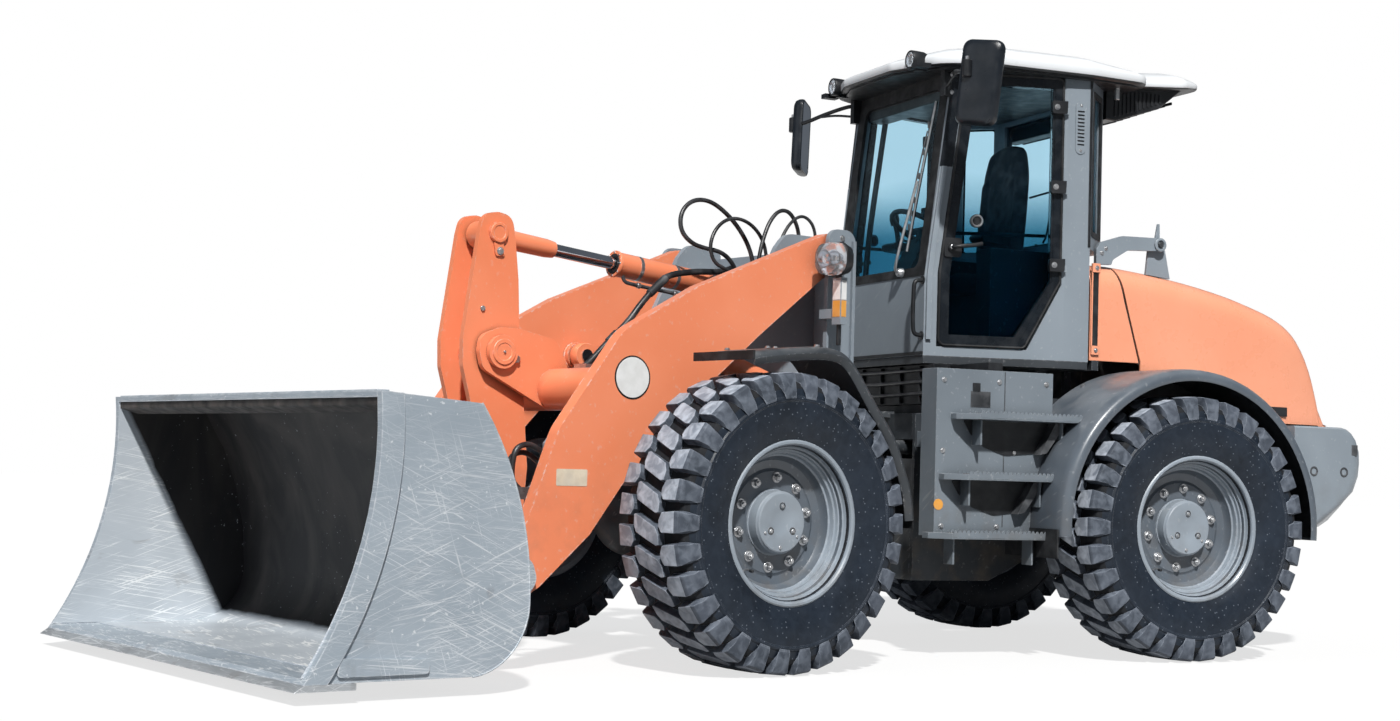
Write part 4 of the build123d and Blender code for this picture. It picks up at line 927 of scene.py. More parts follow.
start, along = addGland(cylinderFacts["tilt"])
below = Vector((0, -along.z, along.y))
inward = Vector((34, 0, 0))
addPipe([start + along * a + below * b + inward for a, b in cylinderFacts["line"]], 9, 12, 3)
addTurned(((52, 33.5), (52, 46), (74, 59), (822, 59), (822, 33.5)), start, along)
addEye(start, *cylinderFacts["baseEye"])
for a in cylinderFacts["clamps"]:
    spot = start + along * a
    addTurned(((-9, 55.5), (-9, 60), (9, 60), (9, 55.5)), spot, along, 36, 2)
    hold = spot + below * 84 + inward
    addBar(hold - along * 10, hold + along * 10, 14, 16, 2, edge=2)
addBlock(-26, 26, start.y - 165, start.y - 100, 1832, 1858)
addBar((0, -830, 1850), (0, -830, 1876), 17, 6, 2)
finishPiece("tiltBarrelTrim", cylinderFacts["finishes"], "tilt_barrel", frontPlace,
            replaced="tilt_barrel")
# the rod's orange shank and the bright rod behind it
eye = Vector(cylinderFacts["tilt"]["eye"])
addEye(eye, *cylinderFacts["tiltEye"])
addTurned(((50, 29), (50, 44), (58, 46), (330, 43), (372, 38), (380, 29)), eye, -along, 36)
addBar(eye - along * 360, eye - along * 1100, 28.6, 36, 1)
finishPiece("tiltRodEye", "orangePaint chromeSteel", "tilt_rod", frontPlace, 32)
for side, hand in bothSides:
    place = sided(frontPlace, side)
    addGland(cylinderFacts["lift"])
    finishPiece("liftBarrelTrim" + hand, cylinderFacts["finishes"], "lift_barrel_" + hand.lower(),
                place)
    addEye(cylinderFacts["lift"]["eye"], *cylinderFacts["liftEye"])
    finishPiece("liftRodEye" + hand, "orangePaint", "lift_rod_" + hand.lower(), place, 32)

# lines over the boom's cross tube, as far as the bucket end
lineFacts = {"steel": ((300, 0), (326, 4), (352, 0)),   # (x, lift)
             "covered": ((150, -905, 1860), (165, -1010, 1830), (185, -1190, 1812), (205, -1362, 1770),
                         (215, -1491, 1654),
                         (215, -1584, 1544), (215, -1705, 1430), (215, -1800, 1340), (215, -1880, 1300)),
             "couplings": (((205, -1362, 1768), (213, -1462, 1684)),
                           ((215, -1640, 1491), (215, -1690, 1444))),
             "loops": ((470, 0, 13), (432, 34, 12)),   # (x, how much smaller, radius)
             "ports": ((-2240, 668), (-2335, 752))}
for x, lift in lineFacts["steel"]:
    addPipe([(x, -1010, 1560), (x, -1180, 1545 + lift), (x, -1420, 1440 + lift), (x, -1640, 1345),
             (x, -1800, 1305),
             (x, -1870, 1300), (x, -1905, 1312)], 8, 10)
addBlock(280, 372, -1920, -1880, 1296, 1330, 1)
addPipe(lineFacts["covered"], 15, 14, 2)
for low, high in lineFacts["couplings"]:
    addBar(low, high, 20, 18, edge=3)
for x, less, radius in lineFacts["loops"]:
    addPipe([(540, -2240, 668), (x, -2243, 671 + less), (x, -2178, 732 + less), (x, -2151, 831),
             (x, -2186, 913 - less),
             (x, -2265, 958 - less), (x, -2330, 940 - less), (x, -2352, 870 - less), (x, -2345, 800),
             (540, -2335, 752)],
            radius, 12, 2)
for y, z in lineFacts["ports"]:
    addBlock(524, 545, y - 30, y + 30, z - 26, z + 26)
finishPiece("boomLines", "darkSteel boltZinc hoseRubber", "boom", frontPlace, 40)
print("boom and bucket dressed")

# front frame: pin ends on the posts with their keepers, bolts, and a rib down each post
frameFacts = {"bolts": ((657, -660, 1990, 11), (657, -660, 1300, 11), (657, -660, 1210, 11),
                        (400, -1560, 850, 14),
                        (400, -1500, 830, 14), (400, -1420, 830, 14), (400, -1280, 830, 14),
                        (400, -1200, 830, 14),
                        (666, -670, 1824, 12))}
addTurned(((0, tip), (0, 60), (7, 60), (10, 57), (10, 46), (7, 43), (7, tip)), (657, -720, 1905), aside, 40)
addPlate(roundRect(-700, -640, 1848, 1800, 10), 657, 666)
for *spot, size in frameFacts["bolts"]:
    addBolt(spot, aside, size)
addBlock(655, 672, -600, -582, 1340, 1980)
mirrorOver()
finishPiece("frontFrameTrim", "greyPaint boltZinc", "front_half", frontPlace, bevel=1.5)

# control valve on its block, with spools and elbows
for x in (-250, -150, -50, 50):
    addBlock(x - 42, x + 42, -925, -735, 1660, 1735)
    addBar((x, -945, 1700), (x, -715, 1700), 22, 20, 1, edge=2)
    addBar((x, -860, 1735), (x, -860, 1758), 18, 6, 1)
    addBar((x, -790, 1735), (x, -790, 1752), 16, 6, 1)
addBlock(-330, 110, -915, -745, 1668, 1682, 1)
finishPiece("controlValve", "darkSteel boltZinc", "front_half", frontPlace, bevel=4)

# front fenders: bent sheet with a rolled outer lip
fenderFacts = {"path": ((-1600, 1375), (-1500, 1392), (-1350, 1410), (-1200, 1421),
                        (-1110, 1414), (-1050, 1390),
                        (-985, 1332), (-870, 1186), (-752, 1041), (-684, 901), (-643, 796), (-624, 676)),
               # (x, height above the path): flat top, rolled edge, lip turned down, and back below
               "section": ((745, 0), (775, 6), (1103, 6), (1137, 2), (1155, -9), (1161, -24),
                           (1147, -50), (1142, -53),
                           (1156, -27), (1150, -12), (1103, 1), (775, 1), (745, -5))}


def buildFrontFender(side, hand):
    path = smoothPath([(0, y, z) for y, z in fenderFacts["path"]], 4)
    addLoft([[spot + Vector((x, -along.z * h, along.y * h)) for x, h in fenderFacts["section"]]
             for spot, along in runsAlong(path)])
    # edging on the front and the flap at the foot
    front, foot = path[0], path[-1]
    addBlock(748, 1160, front.y - 7, front.y + 4, front.z - 26, front.z + 12, 1)
    flap = ((-14, 70), (-8, 70), (-4, -40), (-10, -40))
    addPlate([(foot.y + y, foot.z + z) for y, z in flap], 760, 1150, 1)
    # bracket to the post
    addBlock(657, 775, -742, -694, 1000, 1256)
    for z in (1060, 1200):
        addBolt((775, -718, z), aside, 12, 2)
    for x, y, z in ((800, -1180, 1429), (1080, -1180, 1429), (800, -1460, 1406), (1080, -1460, 1406)):
        addBolt((x, y, z), upward, 11, 2)
    finishPiece("frontFender" + hand, "framePaint sealRubber boltZinc", "front_half",
                sided(frontPlace, side),
                40, replaced="front_fenders" if side > 0 else "")


# headlights on the posts, with blank plates on the holder below
lampFacts = {"spot": (770, -800, 1870),
             # rounded rings: (y, half width, half height, corner)
             "shell": ((-740, 50, 44, 30), (-756, 74, 66, 50), (-784, 84, 76, 60), (-796, 88, 80, 62),
                       (-806, 88, 80, 62),
                       (-810, 84, 76, 60), (-808, 80, 72, 56), (-796, 70, 62, 50)),
             "backing": ((-806, 76, 68, 54), (-801, 76, 68, 54)),
             "lens": ((-809, 84, 76, 60), (-850, 82, 74, 58), (-862, 77, 69, 55), (-871, 62, 54, 46),
                      (-875, 34, 30, 26)),
             "bowls": ((-24, 42), (34, 32)),   # (sideways, radius)
             "plates": ((1682, 1772, 4), (1602, 1678, 7))}


def addBowl(spot, rings, sides, finish):
    # faceted reflector, open to the front; rings hold (y, radius)
    x, z = spot
    turns = [2 * math.pi * k / sides for k in range(sides)]
    addLoft([[(x + math.cos(t) * r, y, z + math.sin(t) * r) for t in turns] for y, r in rings],
            finish, caps=False)


def buildHeadlight(side, hand):
    x, y, z = lampFacts["spot"]
    for key, finish in (("shell", 0), ("backing", 1), ("lens", 3)):
        addLoft([[(a, at, b) for a, b in roundRect(x - half, x + half, z - high, z + high, corner, 6)]
                 for at, half, high, corner in lampFacts[key]], finish)
    for shift, r in lampFacts["bowls"]:
        addBowl((x + shift, z), ((-842, r), (-836, r * 0.97), (-816, r * 0.72), (-804, r * 0.4),
                                 (-802, 10)), 14, 1)
        addBar((x + shift, -802, z), (x + shift, -822, z), 9, 12, 2, edge=2)
    # slim holder below, and brackets
    addBlock(x - 30, x + 30, -790, -752, 1566, 1786, 5)
    for low, high, finish in lampFacts["plates"]:
        addBlock(x - 25, x + 25, -791.5, -789, low, high, finish)
        addBlock(x + 29, x + 31.5, -786, -756, low, high, finish)
    addBar((x, -771, 1470), (x, -771, 1566), 11, 14, edge=2)
    addBlock(637, 700, -788, -746, 1816, 1874, 5)
    addBlock(637, 728, -778, -748, 1598, 1642, 5)
    addBar((x, -780, 1784), (x, -780, 1800), 16, 16, edge=2)
    addBolt((668, -788, 1845), ahead, 10, 2)
    addPipe([(x - 20, -752, 1850), (x - 40, -715, 1830), (668, -708, 1760), (662, -700, 1600)], 6, 8, 6)
    finishPiece("headlight" + hand,
                "blackPlastic chromeSteel boltZinc lensClear signWhite greyPaint hoseRubber labelAmber",
                "front_half", sided(frontPlace, side), 34, 1.5,
                "headlights" if side > 0 else "")


for side, hand in bothSides:
    buildFrontFender(side, hand)
    buildHeadlight(side, hand)
print("front half dressed")

# hood and the fixed panel ahead of it, one skin with rounded shoulders
hoodFacts = {"top": ((1045, 2008), (1212, 2008), (1500, 1981), (1730, 1948), (1950, 1905),
                     (2130, 1858), (2280, 1810),
                     (2400, 1745), (2475, 1660), (2530, 1560), (2590, 1400), (2648, 1213)),
             "half": ((1045, 648), (1700, 650), (2100, 646), (2300, 636), (2450, 618),
                      (2560, 598), (2650, 575)),
             "bottom": 1213, "panelBottom": 1490, "shoulder": 150, "crown": 16, "rear": 2648,
             "panelFront": 1046,
             # front edge leans with height
             "front": ((2008, 1212), (1800, 1268), (1640, 1318), (1490, 1362), (1213, 1362)),
             "arm": ((1102, 1990), (1102, 2072), (1128, 2108), (1262, 2150), (1478, 2155),
                     (1524, 2140), (1532, 2118),
                     (1512, 2092), (1470, 2086), (1300, 2078), (1206, 2022), (1196, 1995)),
             "stay": ((1488, 1968), (1488, 2118), (1496, 2150), (1512, 2236), (1524, 2236),
                      (1526, 2150), (1520, 2090),
                      (1530, 1960)),
             "foot": ((1436, 1962), (1452, 2110), (1484, 2136), (1520, 2136), (1556, 2100), (1590, 1948))}


def hoodRing(y, bottom):
    # half section from the lower edge over the shoulder to the middle line, then mirrored
    top, half, drop = easeLine(hoodFacts["top"], y), easeLine(hoodFacts["half"], y), hoodFacts["crown"]
    reach = min(hoodFacts["shoulder"], (top - bottom) * 0.9)
    left = [(half, bottom + (top - reach - bottom) * t) for t in (0, 0.12, 0.28, 0.45, 0.65, 0.85)]
    for turn in (math.pi * i / 20 for i in range(11)):
        left.append((half - reach * 0.95 * (1 - math.cos(turn) ** 0.82),
                     top - drop - reach + reach * math.sin(turn) ** 0.82))
    left += [((half - reach) * t, top - drop * t * t) for t in (0.8, 0.6, 0.4, 0.2)]
    return left + [(0, top)] + [(-x, z) for x, z in left[::-1]]


def frontEdgeAt(z):
    return readLine(hoodFacts["front"], max(1213, min(2008, z)))


def skinRow(sample, bottom, fit):
    # one column of the skin: its heights are sampled at one place, and fit says where each point lies
    row = []
    for k, (x, z) in enumerate(hoodRing(sample, bottom)):
        y = fit(frontEdgeAt(z))
        row.append((*hoodRing(y, bottom)[k], y))
    return row


def archSwell(y, z):
    # soft raised arch that follows the rear fender
    off = math.hypot(y - 1330, z - 660) - 822
    return 9 * max(0.0, 1 - (off / 34) ** 2) ** 2


rows = []
rear = hoodFacts["rear"]
for share in ((i / 46) ** 0.92 for i in range(47)):
    row = skinRow(1362 + (rear - 1362) * share, hoodFacts["bottom"],
                  lambda front: front + (rear - front) * share)
    rows.append([(x + (math.copysign(archSwell(y, z), x) if abs(x) > 560 else 0), y, z) for x, z, y in row])
addLoft(rows, caps=False, around=False)
thicken(finishPiece("hoodShell", "hoodPaint blackPlastic", "hood", smooth=60,
                    replaced="hood"), 0.010)

low = hoodFacts["panelFront"]
rows = [[(x, y, z) for x, z, y in skinRow(1100, hoodFacts["panelBottom"],
                                          lambda front: low + (front - 9 - low) * i / 8)]
        for i in range(9)]
addLoft(rows, caps=False, around=False)
thicken(finishPiece("hoodPanel", "hoodPaint", "rear_half", smooth=60,
                    replaced="hood_surround"), 0.012)

# latch slot, its black back strip a painted shade of the recess; hinge arms and their bolts, seam seal
# painted shade: black strip at the back of the slot
addBlock(644, 652, 1058, 1092, 1566, 1944, 1)
for z0, z1 in ((1944, 1990), (1520, 1566)):
    addSlab(roundRect(640, 660, 1052, 1100, 6), z0, z1)
    addBolt((660, 1076, (z0 + z1) / 2), aside, 9, 3)
for y0, y1 in ((1050, 1058), (1092, 1100)):
    addBlock(644, 654, y0, y1, 1566, 1944)
addPlate(roundOff(hoodFacts["arm"], (0, 20, 30, 40, 30, 24, 24, 24, 20, 60, 20, 0), 4), 590, 614, 4)
addTurned(((0, 24), (0, 34), (4, 36), (10, 36), (12, 33), (12, 24), (4, 20), (4, tip), (0, tip)),
          (612, 1500, 2120),
          aside, 32, 4)
addBar((560, 1500, 2120), (628, 1500, 2120), 14, 20, 2, edge=2)
for y, z in ((1136, 2052), (1160, 2078)):
    addBolt((614, y, z), aside, 9, 3)
mirrorOver()
addPipe([(x * 0.985, frontEdgeAt(z) - 5, z - 6) for x, z in hoodRing(1180, 1490)], 7, 8, 1, 1)
finishPiece("hoodPanelTrim", "hoodPaint sealRubber darkSteel boltZinc greyPaint", "rear_half",
            bevel=1)

# stays and lock on the hood, and the radiator grille in its sloping tail
addPlate(roundOff(hoodFacts["stay"], (0, 6, 6, 4, 4, 6, 6, 0)), 566, 578, 4)
addPlate(roundOff(hoodFacts["foot"], (0, 20, 20, 20, 30, 0), 4), 568, 584, 4)
addSlab(roundRect(640, 645, 2210, 2330, 2, 2), 1250, 1300, 2)
mirrorOver()
tail = [(z, y) for y, z in hoodFacts["top"][7:]]
for z in (1290 + 440 * i / 18 for i in range(19)):
    y = readLine(tail, z) + 3
    addBlock(-455, 455, y - 16, y, z - 5, z + 5, 2)
for x in (-460, -230, 0, 230, 460):
    edge = [(readLine(tail, z) + 5, z) for z in (1275, 1400, 1560, 1660, 1745)]
    addPlate(edge + [(y - 22, z) for y, z in edge[::-1]], x - 10, x + 10, 2)
addBar((0, 2602, 1262), (0, 2632, 1262), 26, 24, 3, edge=2)
finishPiece("hoodTrim", "hoodPaint sealRubber blackPlastic boltZinc greyPaint", "hood", bevel=1)
print("hood shaped")

# rear fenders: wide rolled arch with the dark liner inside; sections hold (x, reach from the arch's centre)
archFacts = {"centre": (1330, 660), "steps": 60, "boltsAt": (28, 62, 96, 130),
             "section": ((662, 783), (692, 785), (1043, 785), (1103, 783), (1139, 777), (1155, 765),
                         (1163, 749), (1163, 727),
                         (1160, 723), (1155, 725), (1154, 745), (1143, 761), (1103, 773),
                         (692, 775), (662, 773)),
             "liner": ((666, 772), (1133, 770), (1133, 767), (666, 769))}


def onArch(x, reach, degrees):
    y, z = archFacts["centre"]
    turn = math.radians(degrees)
    return Vector((x, y - reach * math.cos(turn), z + reach * math.sin(turn)))


for side, hand in bothSides:
    for key, finish, first, sweep in (("section", 0, -4, 188), ("liner", 1, -3, 186)):
        steps = archFacts["steps"]
        addLoft([[onArch(x, reach, first + sweep * i / steps) for x, reach in archFacts[key]]
                 for i in range(steps + 1)], finish)
    addPlate([onArch(0, 782, degrees).yz for degrees in range(35, 146, 5)], 664, 675, 1)
    addBlock(690, 1140, 538, 546, 500, 640, 2)
    for degrees in archFacts["boltsAt"]:
        addBolt(onArch(720, 785, degrees), onArch(0, 1, degrees) - onArch(0, 0, degrees), 11, 3)
    addBlock(410, 672, 1242, 1318, 1102, 1128)
    finishPiece("rearFender" + hand, "fenderPaint blackPlastic sealRubber boltZinc",
                "rear_half",
                sided(rearPlace, side), 40, replaced="rear_fenders" if side > 0 else "")

# counterweight: rounded casting with its lamps, hitch and bolts
weightFacts = {"front": 2122, "half": 950, "rear": 640,
               # height, where the side turns in, how far back it reaches
               "levels": ((666, 2250, 2562), (700, 2305, 2622), (780, 2420, 2708), (860, 2512, 2780),
                          (940, 2545, 2812),
                          (1010, 2552, 2823), (1070, 2550, 2812), (1130, 2528, 2786), (1165, 2498, 2756),
                          (1185, 2468, 2722),
                          (1194, 2440, 2690)),
               # lamp: (from y, to y, how much smaller, finish)
               "lamp": ((2790, 2812, 0, 2), (2812, 2820, 5, 2), (2816, 2824, 14, 3)),
               "coupling": ((-70, 2800), (70, 2800), (55, 2829), (-55, 2829))}
rings = []
for z, corner, reach in weightFacts["levels"]:
    x = weightFacts["half"] - (8 if z in (666, 1194) else 0)
    inner, front = weightFacts["rear"], weightFacts["front"]
    plan = ((-x, front), (x, front), (x, corner), (inner, reach), (-inner, reach), (-x, corner))
    rings.append([(a, b, z) for a, b in roundOff(plan, (4, 4, 110, 110, 110, 110), 6)])
addLoft(rings)
finishPiece("counterweightCast", "greyPaint", "rear_half", smooth=30, replaced="counterweight")
for y0, y1, less, finish in weightFacts["lamp"]:
    addPanel([(520 + (x - 520) * (1 - less / 90), 940 + (z - 940) * (1 - less / 60))
              for x, z in roundRect(434, 606, 894, 986, 12, 4)],
             y0, y1, finish)
addBlock(556, 594, 2823, 2826, 908, 972, 4)
for y in (2250, 2450):
    addTurned(((-2, tip), (-2, 26), (2, 26), (3, 24), (3, 17), (-1, 15), (-1, tip)),
              (950, y, 960), aside, 28, 1)
addTurned(((-3, tip), (-3, 34), (3, 34), (3, 22), (-1, 20), (-1, tip)), (700, 2420, 1195), upward, 32, 1)
addSlab(roundRect(946, 951.5, 2500, 2540, 1, 2), 1050, 1104, 1)
mirrorOver()
# tow coupling with its pin, and a blank plate holder
for z in (838, 742):
    addSlab(roundOff(weightFacts["coupling"], 8), z, z + 24)
addBar((0, 2815, 730), (0, 2815, 890), 11, 20, 5, edge=2)
addPipe([(0, 2815, 890), (0, 2815, 908), (18, 2815, 920), (34, 2815, 908)], 5, 8, 5)
for x in (-190, 190):
    addBolt((x, 2828, 1010), (0, 1, 0), 15, 5)
addBlock(-160, 160, 2816, 2826, 1060, 1068, 2)
finishPiece("counterweightTrim", "greyPaint darkSteel blackPlastic lensRed lensAmber boltZinc",
            "rear_half",
            bevel=1.2, replaced="tail_lights")

# steps: toothed tread plates, thin black sheets under the two highest treads shaped as their shadows (painted
# shadow) with a dark strut to each, and the box's bolts
stepFacts = {"treads": ((140, 760, 1180), (80, 640, 890), (0, 600, 610)),   # (front, back, top)
             "tooth": 24, "teethAt": (1037, 934), "gripsAt": (960, 984, 1008),
             "bolts": ((40, 1340), (350, 1340), (620, 1340), (40, 640), (350, 640), (440, 1000), (40, 1000))}
for front, back, top in stepFacts["treads"]:
    tooth = stepFacts["tooth"]
    count = int((back - front - 40) / tooth)
    teeth = [(front + 24, top - 20)]
    for y in (front + 26 + i * tooth for i in range(count)):
        teeth += [(y, top + 2), (y + tooth * 0.3, top + 14), (y + tooth * 0.6, top + 14),
                  (y + tooth * 0.9, top + 2)]
    teeth.append((front + 26 + count * tooth, top - 20))
    for x in stepFacts["teethAt"]:
        addPlate(teeth, x, x + 4)
    for y in (front + 50 + i * 38 for i in range(int((back - front - 80) / 38))):
        for x in stepFacts["gripsAt"]:
            addTurned(((0, 5), (0, 9), (3.5, 7.5), (3.5, 5)), (x, y, top), upward, 10, 1)
    if top > 800:
        shadowGusset = ((front + 10, top - 30), (back - 40, top - 30), (back - 70, top - 110),
                 (back - 170, top - 178),
                 (front + 250, top - 196), (front + 130, top - 160), (front + 50, top - 96))
        # painted shadow: black sheet on the box's face under the tread
        addPlate(roundOff(shadowGusset, (6, 6, 60, 80, 80, 60, 40), 4), 900.5, 904.5, 3)
        addPlate([(back - 120, top - 30), (back - 60, top - 30), (back - 170, top - 178),
                  (back - 210, top - 186)], 904, 960, 1)
addBlock(899, 901.5, 380, 384, 640, 1390, 1)
for y, z in stepFacts["bolts"]:
    addBolt((900, y, z), aside, 10, 2)
addSlab(roundRect(896, 903, 190, 300, 2, 2), 1215, 1290, 1)
addBlock(900, 906, 200, 240, 1290, 1330, 3)
addBar((900, 22, 742), (902, 22, 742), 26, 28, 4, edge=0.4)
mirrorOver()
finishPiece("stepTrim", "stepPaint darkSteel boltZinc blackPlastic labelAmber", "rear_half")
print("rear half dressed")

# cab: its walls are drawn along themselves, measured from corner to corner
cabFacts = {"nose": (470, 170), "doorRear": (645, 890), "pillarRear": (657, 1030),
            "tail": (480, 1220), "lean": 0.12,
            "leanFrom": 1900, "doorRound": (34, 30, 26, 26, 26, 10), "hingesAt": (1964, 2364, 2774)}


def wallPlace(side, start="nose", end="doorRear"):
    # x runs along the wall, y outward, z up
    a, b = (Vector((side * cabFacts[key][0], cabFacts[key][1], 0)) for key in (start, end))
    along = (b - a).normalized()
    turn = Matrix((along, Vector((along.y, -along.x, 0)) * side, upward)).transposed().to_4x4()
    return rearPlace @ Matrix.Translation(a) @ turn


def leaning(z, inset):
    # how far back the leaning front edge lies at height z
    return inset + max(0, (z - cabFacts["leanFrom"]) * cabFacts["lean"])


def doorOutline(grow, radii):
    low, high = 1535 - grow, 2925 + grow
    return roundOff(((75 - grow, low), (528 + grow * 0.4, low), (715 + grow, 1884), (715 + grow, high),
                     (leaning(high, 75 - grow), high), (75 - grow, 1900)), radii, 5)


def addBorder(inner, outer, depths, spotAt=lambda x, off, z: (x, off, z)):
    # frame between two outlines, from the inner edge over the front to the outer edge
    addLoft([[spotAt(x, off, z) for x, z in line]
             for line, off in zip((inner, inner, outer, outer), depths)], joined=True)


def fitWall(side, hand):
    # door: glossy border with a rubber bead round it, hinge covers, handle with its lock, and a round pull
    addBorder(doorOutline(-44, (24, 22, 20, 20, 20, 10)), doorOutline(0, cabFacts["doorRound"]), (1, 4, 4, 1))
    bead = doorOutline(-1, cabFacts["doorRound"])
    addPipe([(x, 4, z) for x, z in bead + bead[:1]], 7, 8, 1, 1)
    for z in cabFacts["hingesAt"]:
        addPanel(roundRect(648, 728, z - 32, z + 32, 9), 2, 30, 2)
        addBolt((672, 30, z), outward, 10, 3, 1.5)
    addPanel(roundRect(96, 186, 1982, 2078, 12), 3, 14, 2)
    addPipe([(140, 16, 2030), (140, 40, 2030), (175, 52, 2034), (240, 52, 2042), (282, 46, 2052)], 11, 12, 2)
    addTurned(((0, tip), (0, 20), (10, 20), (13, 17), (13, tip)), (132, 14, 2030), outward, 24, 2)
    addTurned(((0, tip), (0, 10), (4, 10), (5, 8), (5, tip)), (132, 27, 2030), outward, 20, 3)
    addTurned(((-6, 22), (-6, 33), (12, 34), (18, 30), (18, 24), (6, 21)), (262, 2, 2170), outward, 32, 3)
    addTurned(((-6, tip), (-6, 22), (6, 22), (9, 18), (10, tip)), (262, 2, 2170), outward, 24, 2)
    # inner rail across the door
    addPipe([(110, -52, 2105), (130, -66, 2110), (400, -70, 2118), (620, -66, 2120),
             (655, -50, 2120)], 9, 10, 2)
    finishPiece("doorTrim" + hand, "glossBlack sealRubber blackPlastic boltZinc", "door_" + hand.lower(),
                wallPlace(side))
    # grab rail and black strip on the front pillar, and the drain strip over the door
    rail = [(leaning(z, 22), z) for z in (1560, 1700, 1880, 2000, 2200, 2440)]
    addLoft([[(x - 13, 1, z), (x + 13, 1, z), (x + 13, 16, z), (x - 13, 16, z)] for x, z in rail], 2)
    strip = [(leaning(z, 22), z) for z in (2440, 2700, 2948)]
    addPanel([(x + 44, z) for x, z in strip] + [(x - 23, z) for x, z in strip[::-1]], -1, 2.5)
    addPipe([(leaning(2944, 60), 6, 2944), (400, 8, 2946), (738, 6, 2944)], 6, 8, 1, 2)
    finishPiece("cabPillarTrim" + hand, "glossBlack sealRubber greyPaint", "rear_half",
                wallPlace(side),
                bevel=2)
    # vent plate with slots on the rear pillar, and the seal behind it
    middle = 74
    addPanel(roundRect(middle - 30, middle + 30, 2545, 2815, 29, 6), 0.5, 4)
    for z in (2590 + i * 19 for i in range(10)):
        addPanel(roundRect(middle - 20, middle + 20, z, z + 9, 4), 3.5, 4.6, 1)
        addBlock(middle - 19, middle + 19, 4.4, 7.5, z + 7.5, z + 10.5)
    for z in (2563, 2797):
        addBolt((middle, 4, z), outward, 6, 2)
    addBlock(128, 141, 0.5, 5, 2070, 2944, 1)
    finishPiece("cabVent" + hand, "greyPaint blackPlastic boltZinc", "rear_half",
                wallPlace(side, "doorRear", "pillarRear"), bevel=0.8)
    # black border round the rear corner window
    addBorder(roundRect(46, 209, 2156, 2854, 14, 4), roundRect(18, 236, 2128, 2882, 16, 4), (-8, 3, 3, -1))
    finishPiece("cabCornerSeal" + hand, "sealRubber", "rear_half",
                wallPlace(side, "pillarRear", "tail"))


for side, hand in bothSides:
    fitWall(side, hand)


def screenSpot(x, off, z):
    # point on the cab's front face, off in front of it
    return Vector((x, leaning(z, 170) - off, z))


def buildScreen():
    # grab loops at the front corners, the screen's border, and the wiper: cap, arm, blade with its spine
    addPipe([(452, 168, 1860), (452, 128, 1850), (452, 118, 1800), (452, 118, 1640), (452, 128, 1590),
             (452, 168, 1580)],
            11, 12, 3)
    for z in (1860, 1580):
        addTurned(((0, tip), (0, 22), (5, 22), (7, 18), (7, tip)), (452, 170, z), ahead, 20, 3)
    mirrorOver()
    addBorder(roundRect(-396, 396, 1930, 2856, 46, 5), roundRect(-468, 468, 1884, 2946, 14, 5),
              (-16, 3, 3, -1), screenSpot)
    pivot, armTop = screenSpot(250, 8, 1912), screenSpot(330, 34, 2380)
    addTurned(((0, tip), (0, 24), (22, 22), (30, 16), (32, tip)), pivot, ahead, 24, 1)
    addPipe([pivot + Vector((0, -26, 0)), pivot + Vector((8, -38, 60)), armTop], 8, 10, 1, 4)
    low, top = screenSpot(282, 14, 2020), screenSpot(384, 14, 2790)

    def onBlade(share, y=0, z=0):
        return low.lerp(top, share) + Vector((0, y, z))

    addPipe([low, onBlade(0.5, -4), top], 6, 8, 1)
    addPipe([onBlade(0, 7), onBlade(0.5, 4), onBlade(1, 7)], 3.5, 6)
    for share in (0.16, 0.34, 0.5, 0.66, 0.84):
        addBar(onBlade(share, -16, -16), onBlade(share, -16, 16), 6, 10, 2, edge=1)
    addPipe([onBlade(0.2, -16), armTop + Vector((0, -4, 10)), onBlade(0.8, -16)], 4, 8, 2, 5)
    addBlock(-468, 468, 164, 171, 1484, 1500, 3)
    finishPiece("cabScreenTrim", "sealRubber boltZinc darkSteel blackPlastic", "rear_half")
    # rear window's border and wiper
    addBorder(roundRect(-388, 388, 2162, 2848, 40, 5), roundRect(-452, 452, 2100, 2900, 20, 5),
              (1204, 1223, 1223, 1219))
    addPipe([(-60, 1224, 2170), (-40, 1236, 2230), (10, 1238, 2440)], 6, 8, 1, 4)
    addPipe([(-210, 1232, 2440), (10, 1236, 2450), (230, 1232, 2440)], 6, 8, 1, 4)
    finishPiece("cabBackTrim", "sealRubber darkSteel", "rear_half")


buildScreen()

# cab inside: headlining, blind, dash, arm rests, stick, monitor, corner posts and column stalks
insideFacts = {"lining": ((-415, 330), (415, 330), (590, 870), (600, 1010), (430, 1160),
                          (-430, 1160), (-600, 1010),
                          (-590, 870)),
               "blind": ((-400, 300), (400, 300), (440, 420), (-440, 420)),
               "dash": ((230, 1485), (330, 1485), (330, 1880), (300, 1925), (236, 1935)),
               "armRest": ((720, 2075), (420, 2095), (405, 2125), (430, 2140), (730, 2125)),
               "shortRest": ((720, 2075), (560, 2095), (545, 2120), (565, 2135), (730, 2125)),
               "pipes": ((((-330, 470, 2125), (-332, 462, 2190), (-335, 450, 2240)), 14, 12),
                         (((340, 330, 1930), (340, 345, 2050), (340, 360, 2190)), 12, 10))}
addPipe([(392, 300, 1900), (402, 330, 2200), (408, 385, 2600), (412, 425, 2880)], 16, 10)
addPipe([(60, 420, 2110), (140, 400, 2130), (200, 396, 2150)], 7, 8)
mirrorOver()
addSlab(roundOff(insideFacts["lining"], (60, 60, 40, 40, 60, 60, 40, 40), 4), 2878, 2906)
addSlab(roundOff(insideFacts["blind"], 30, 4), 2800, 2876)
addPlate(roundOff(insideFacts["dash"], (0, 0, 30, 30, 10), 4), -380, 380)
addPlate(roundOff(insideFacts["armRest"], 12), -410, -270)
addPlate(roundOff(insideFacts["shortRest"], 12), 265, 390)
for path, radius, corners in insideFacts["pipes"]:
    addPipe(path, radius, corners)
addTurned(((0, tip), (0, 22), (30, 27), (62, 24), (74, 12), (76, tip)), (-335, 448, 2235), (0, -0.12, 1), 20)
addBlock(330, 350, 300, 420, 2180, 2360)
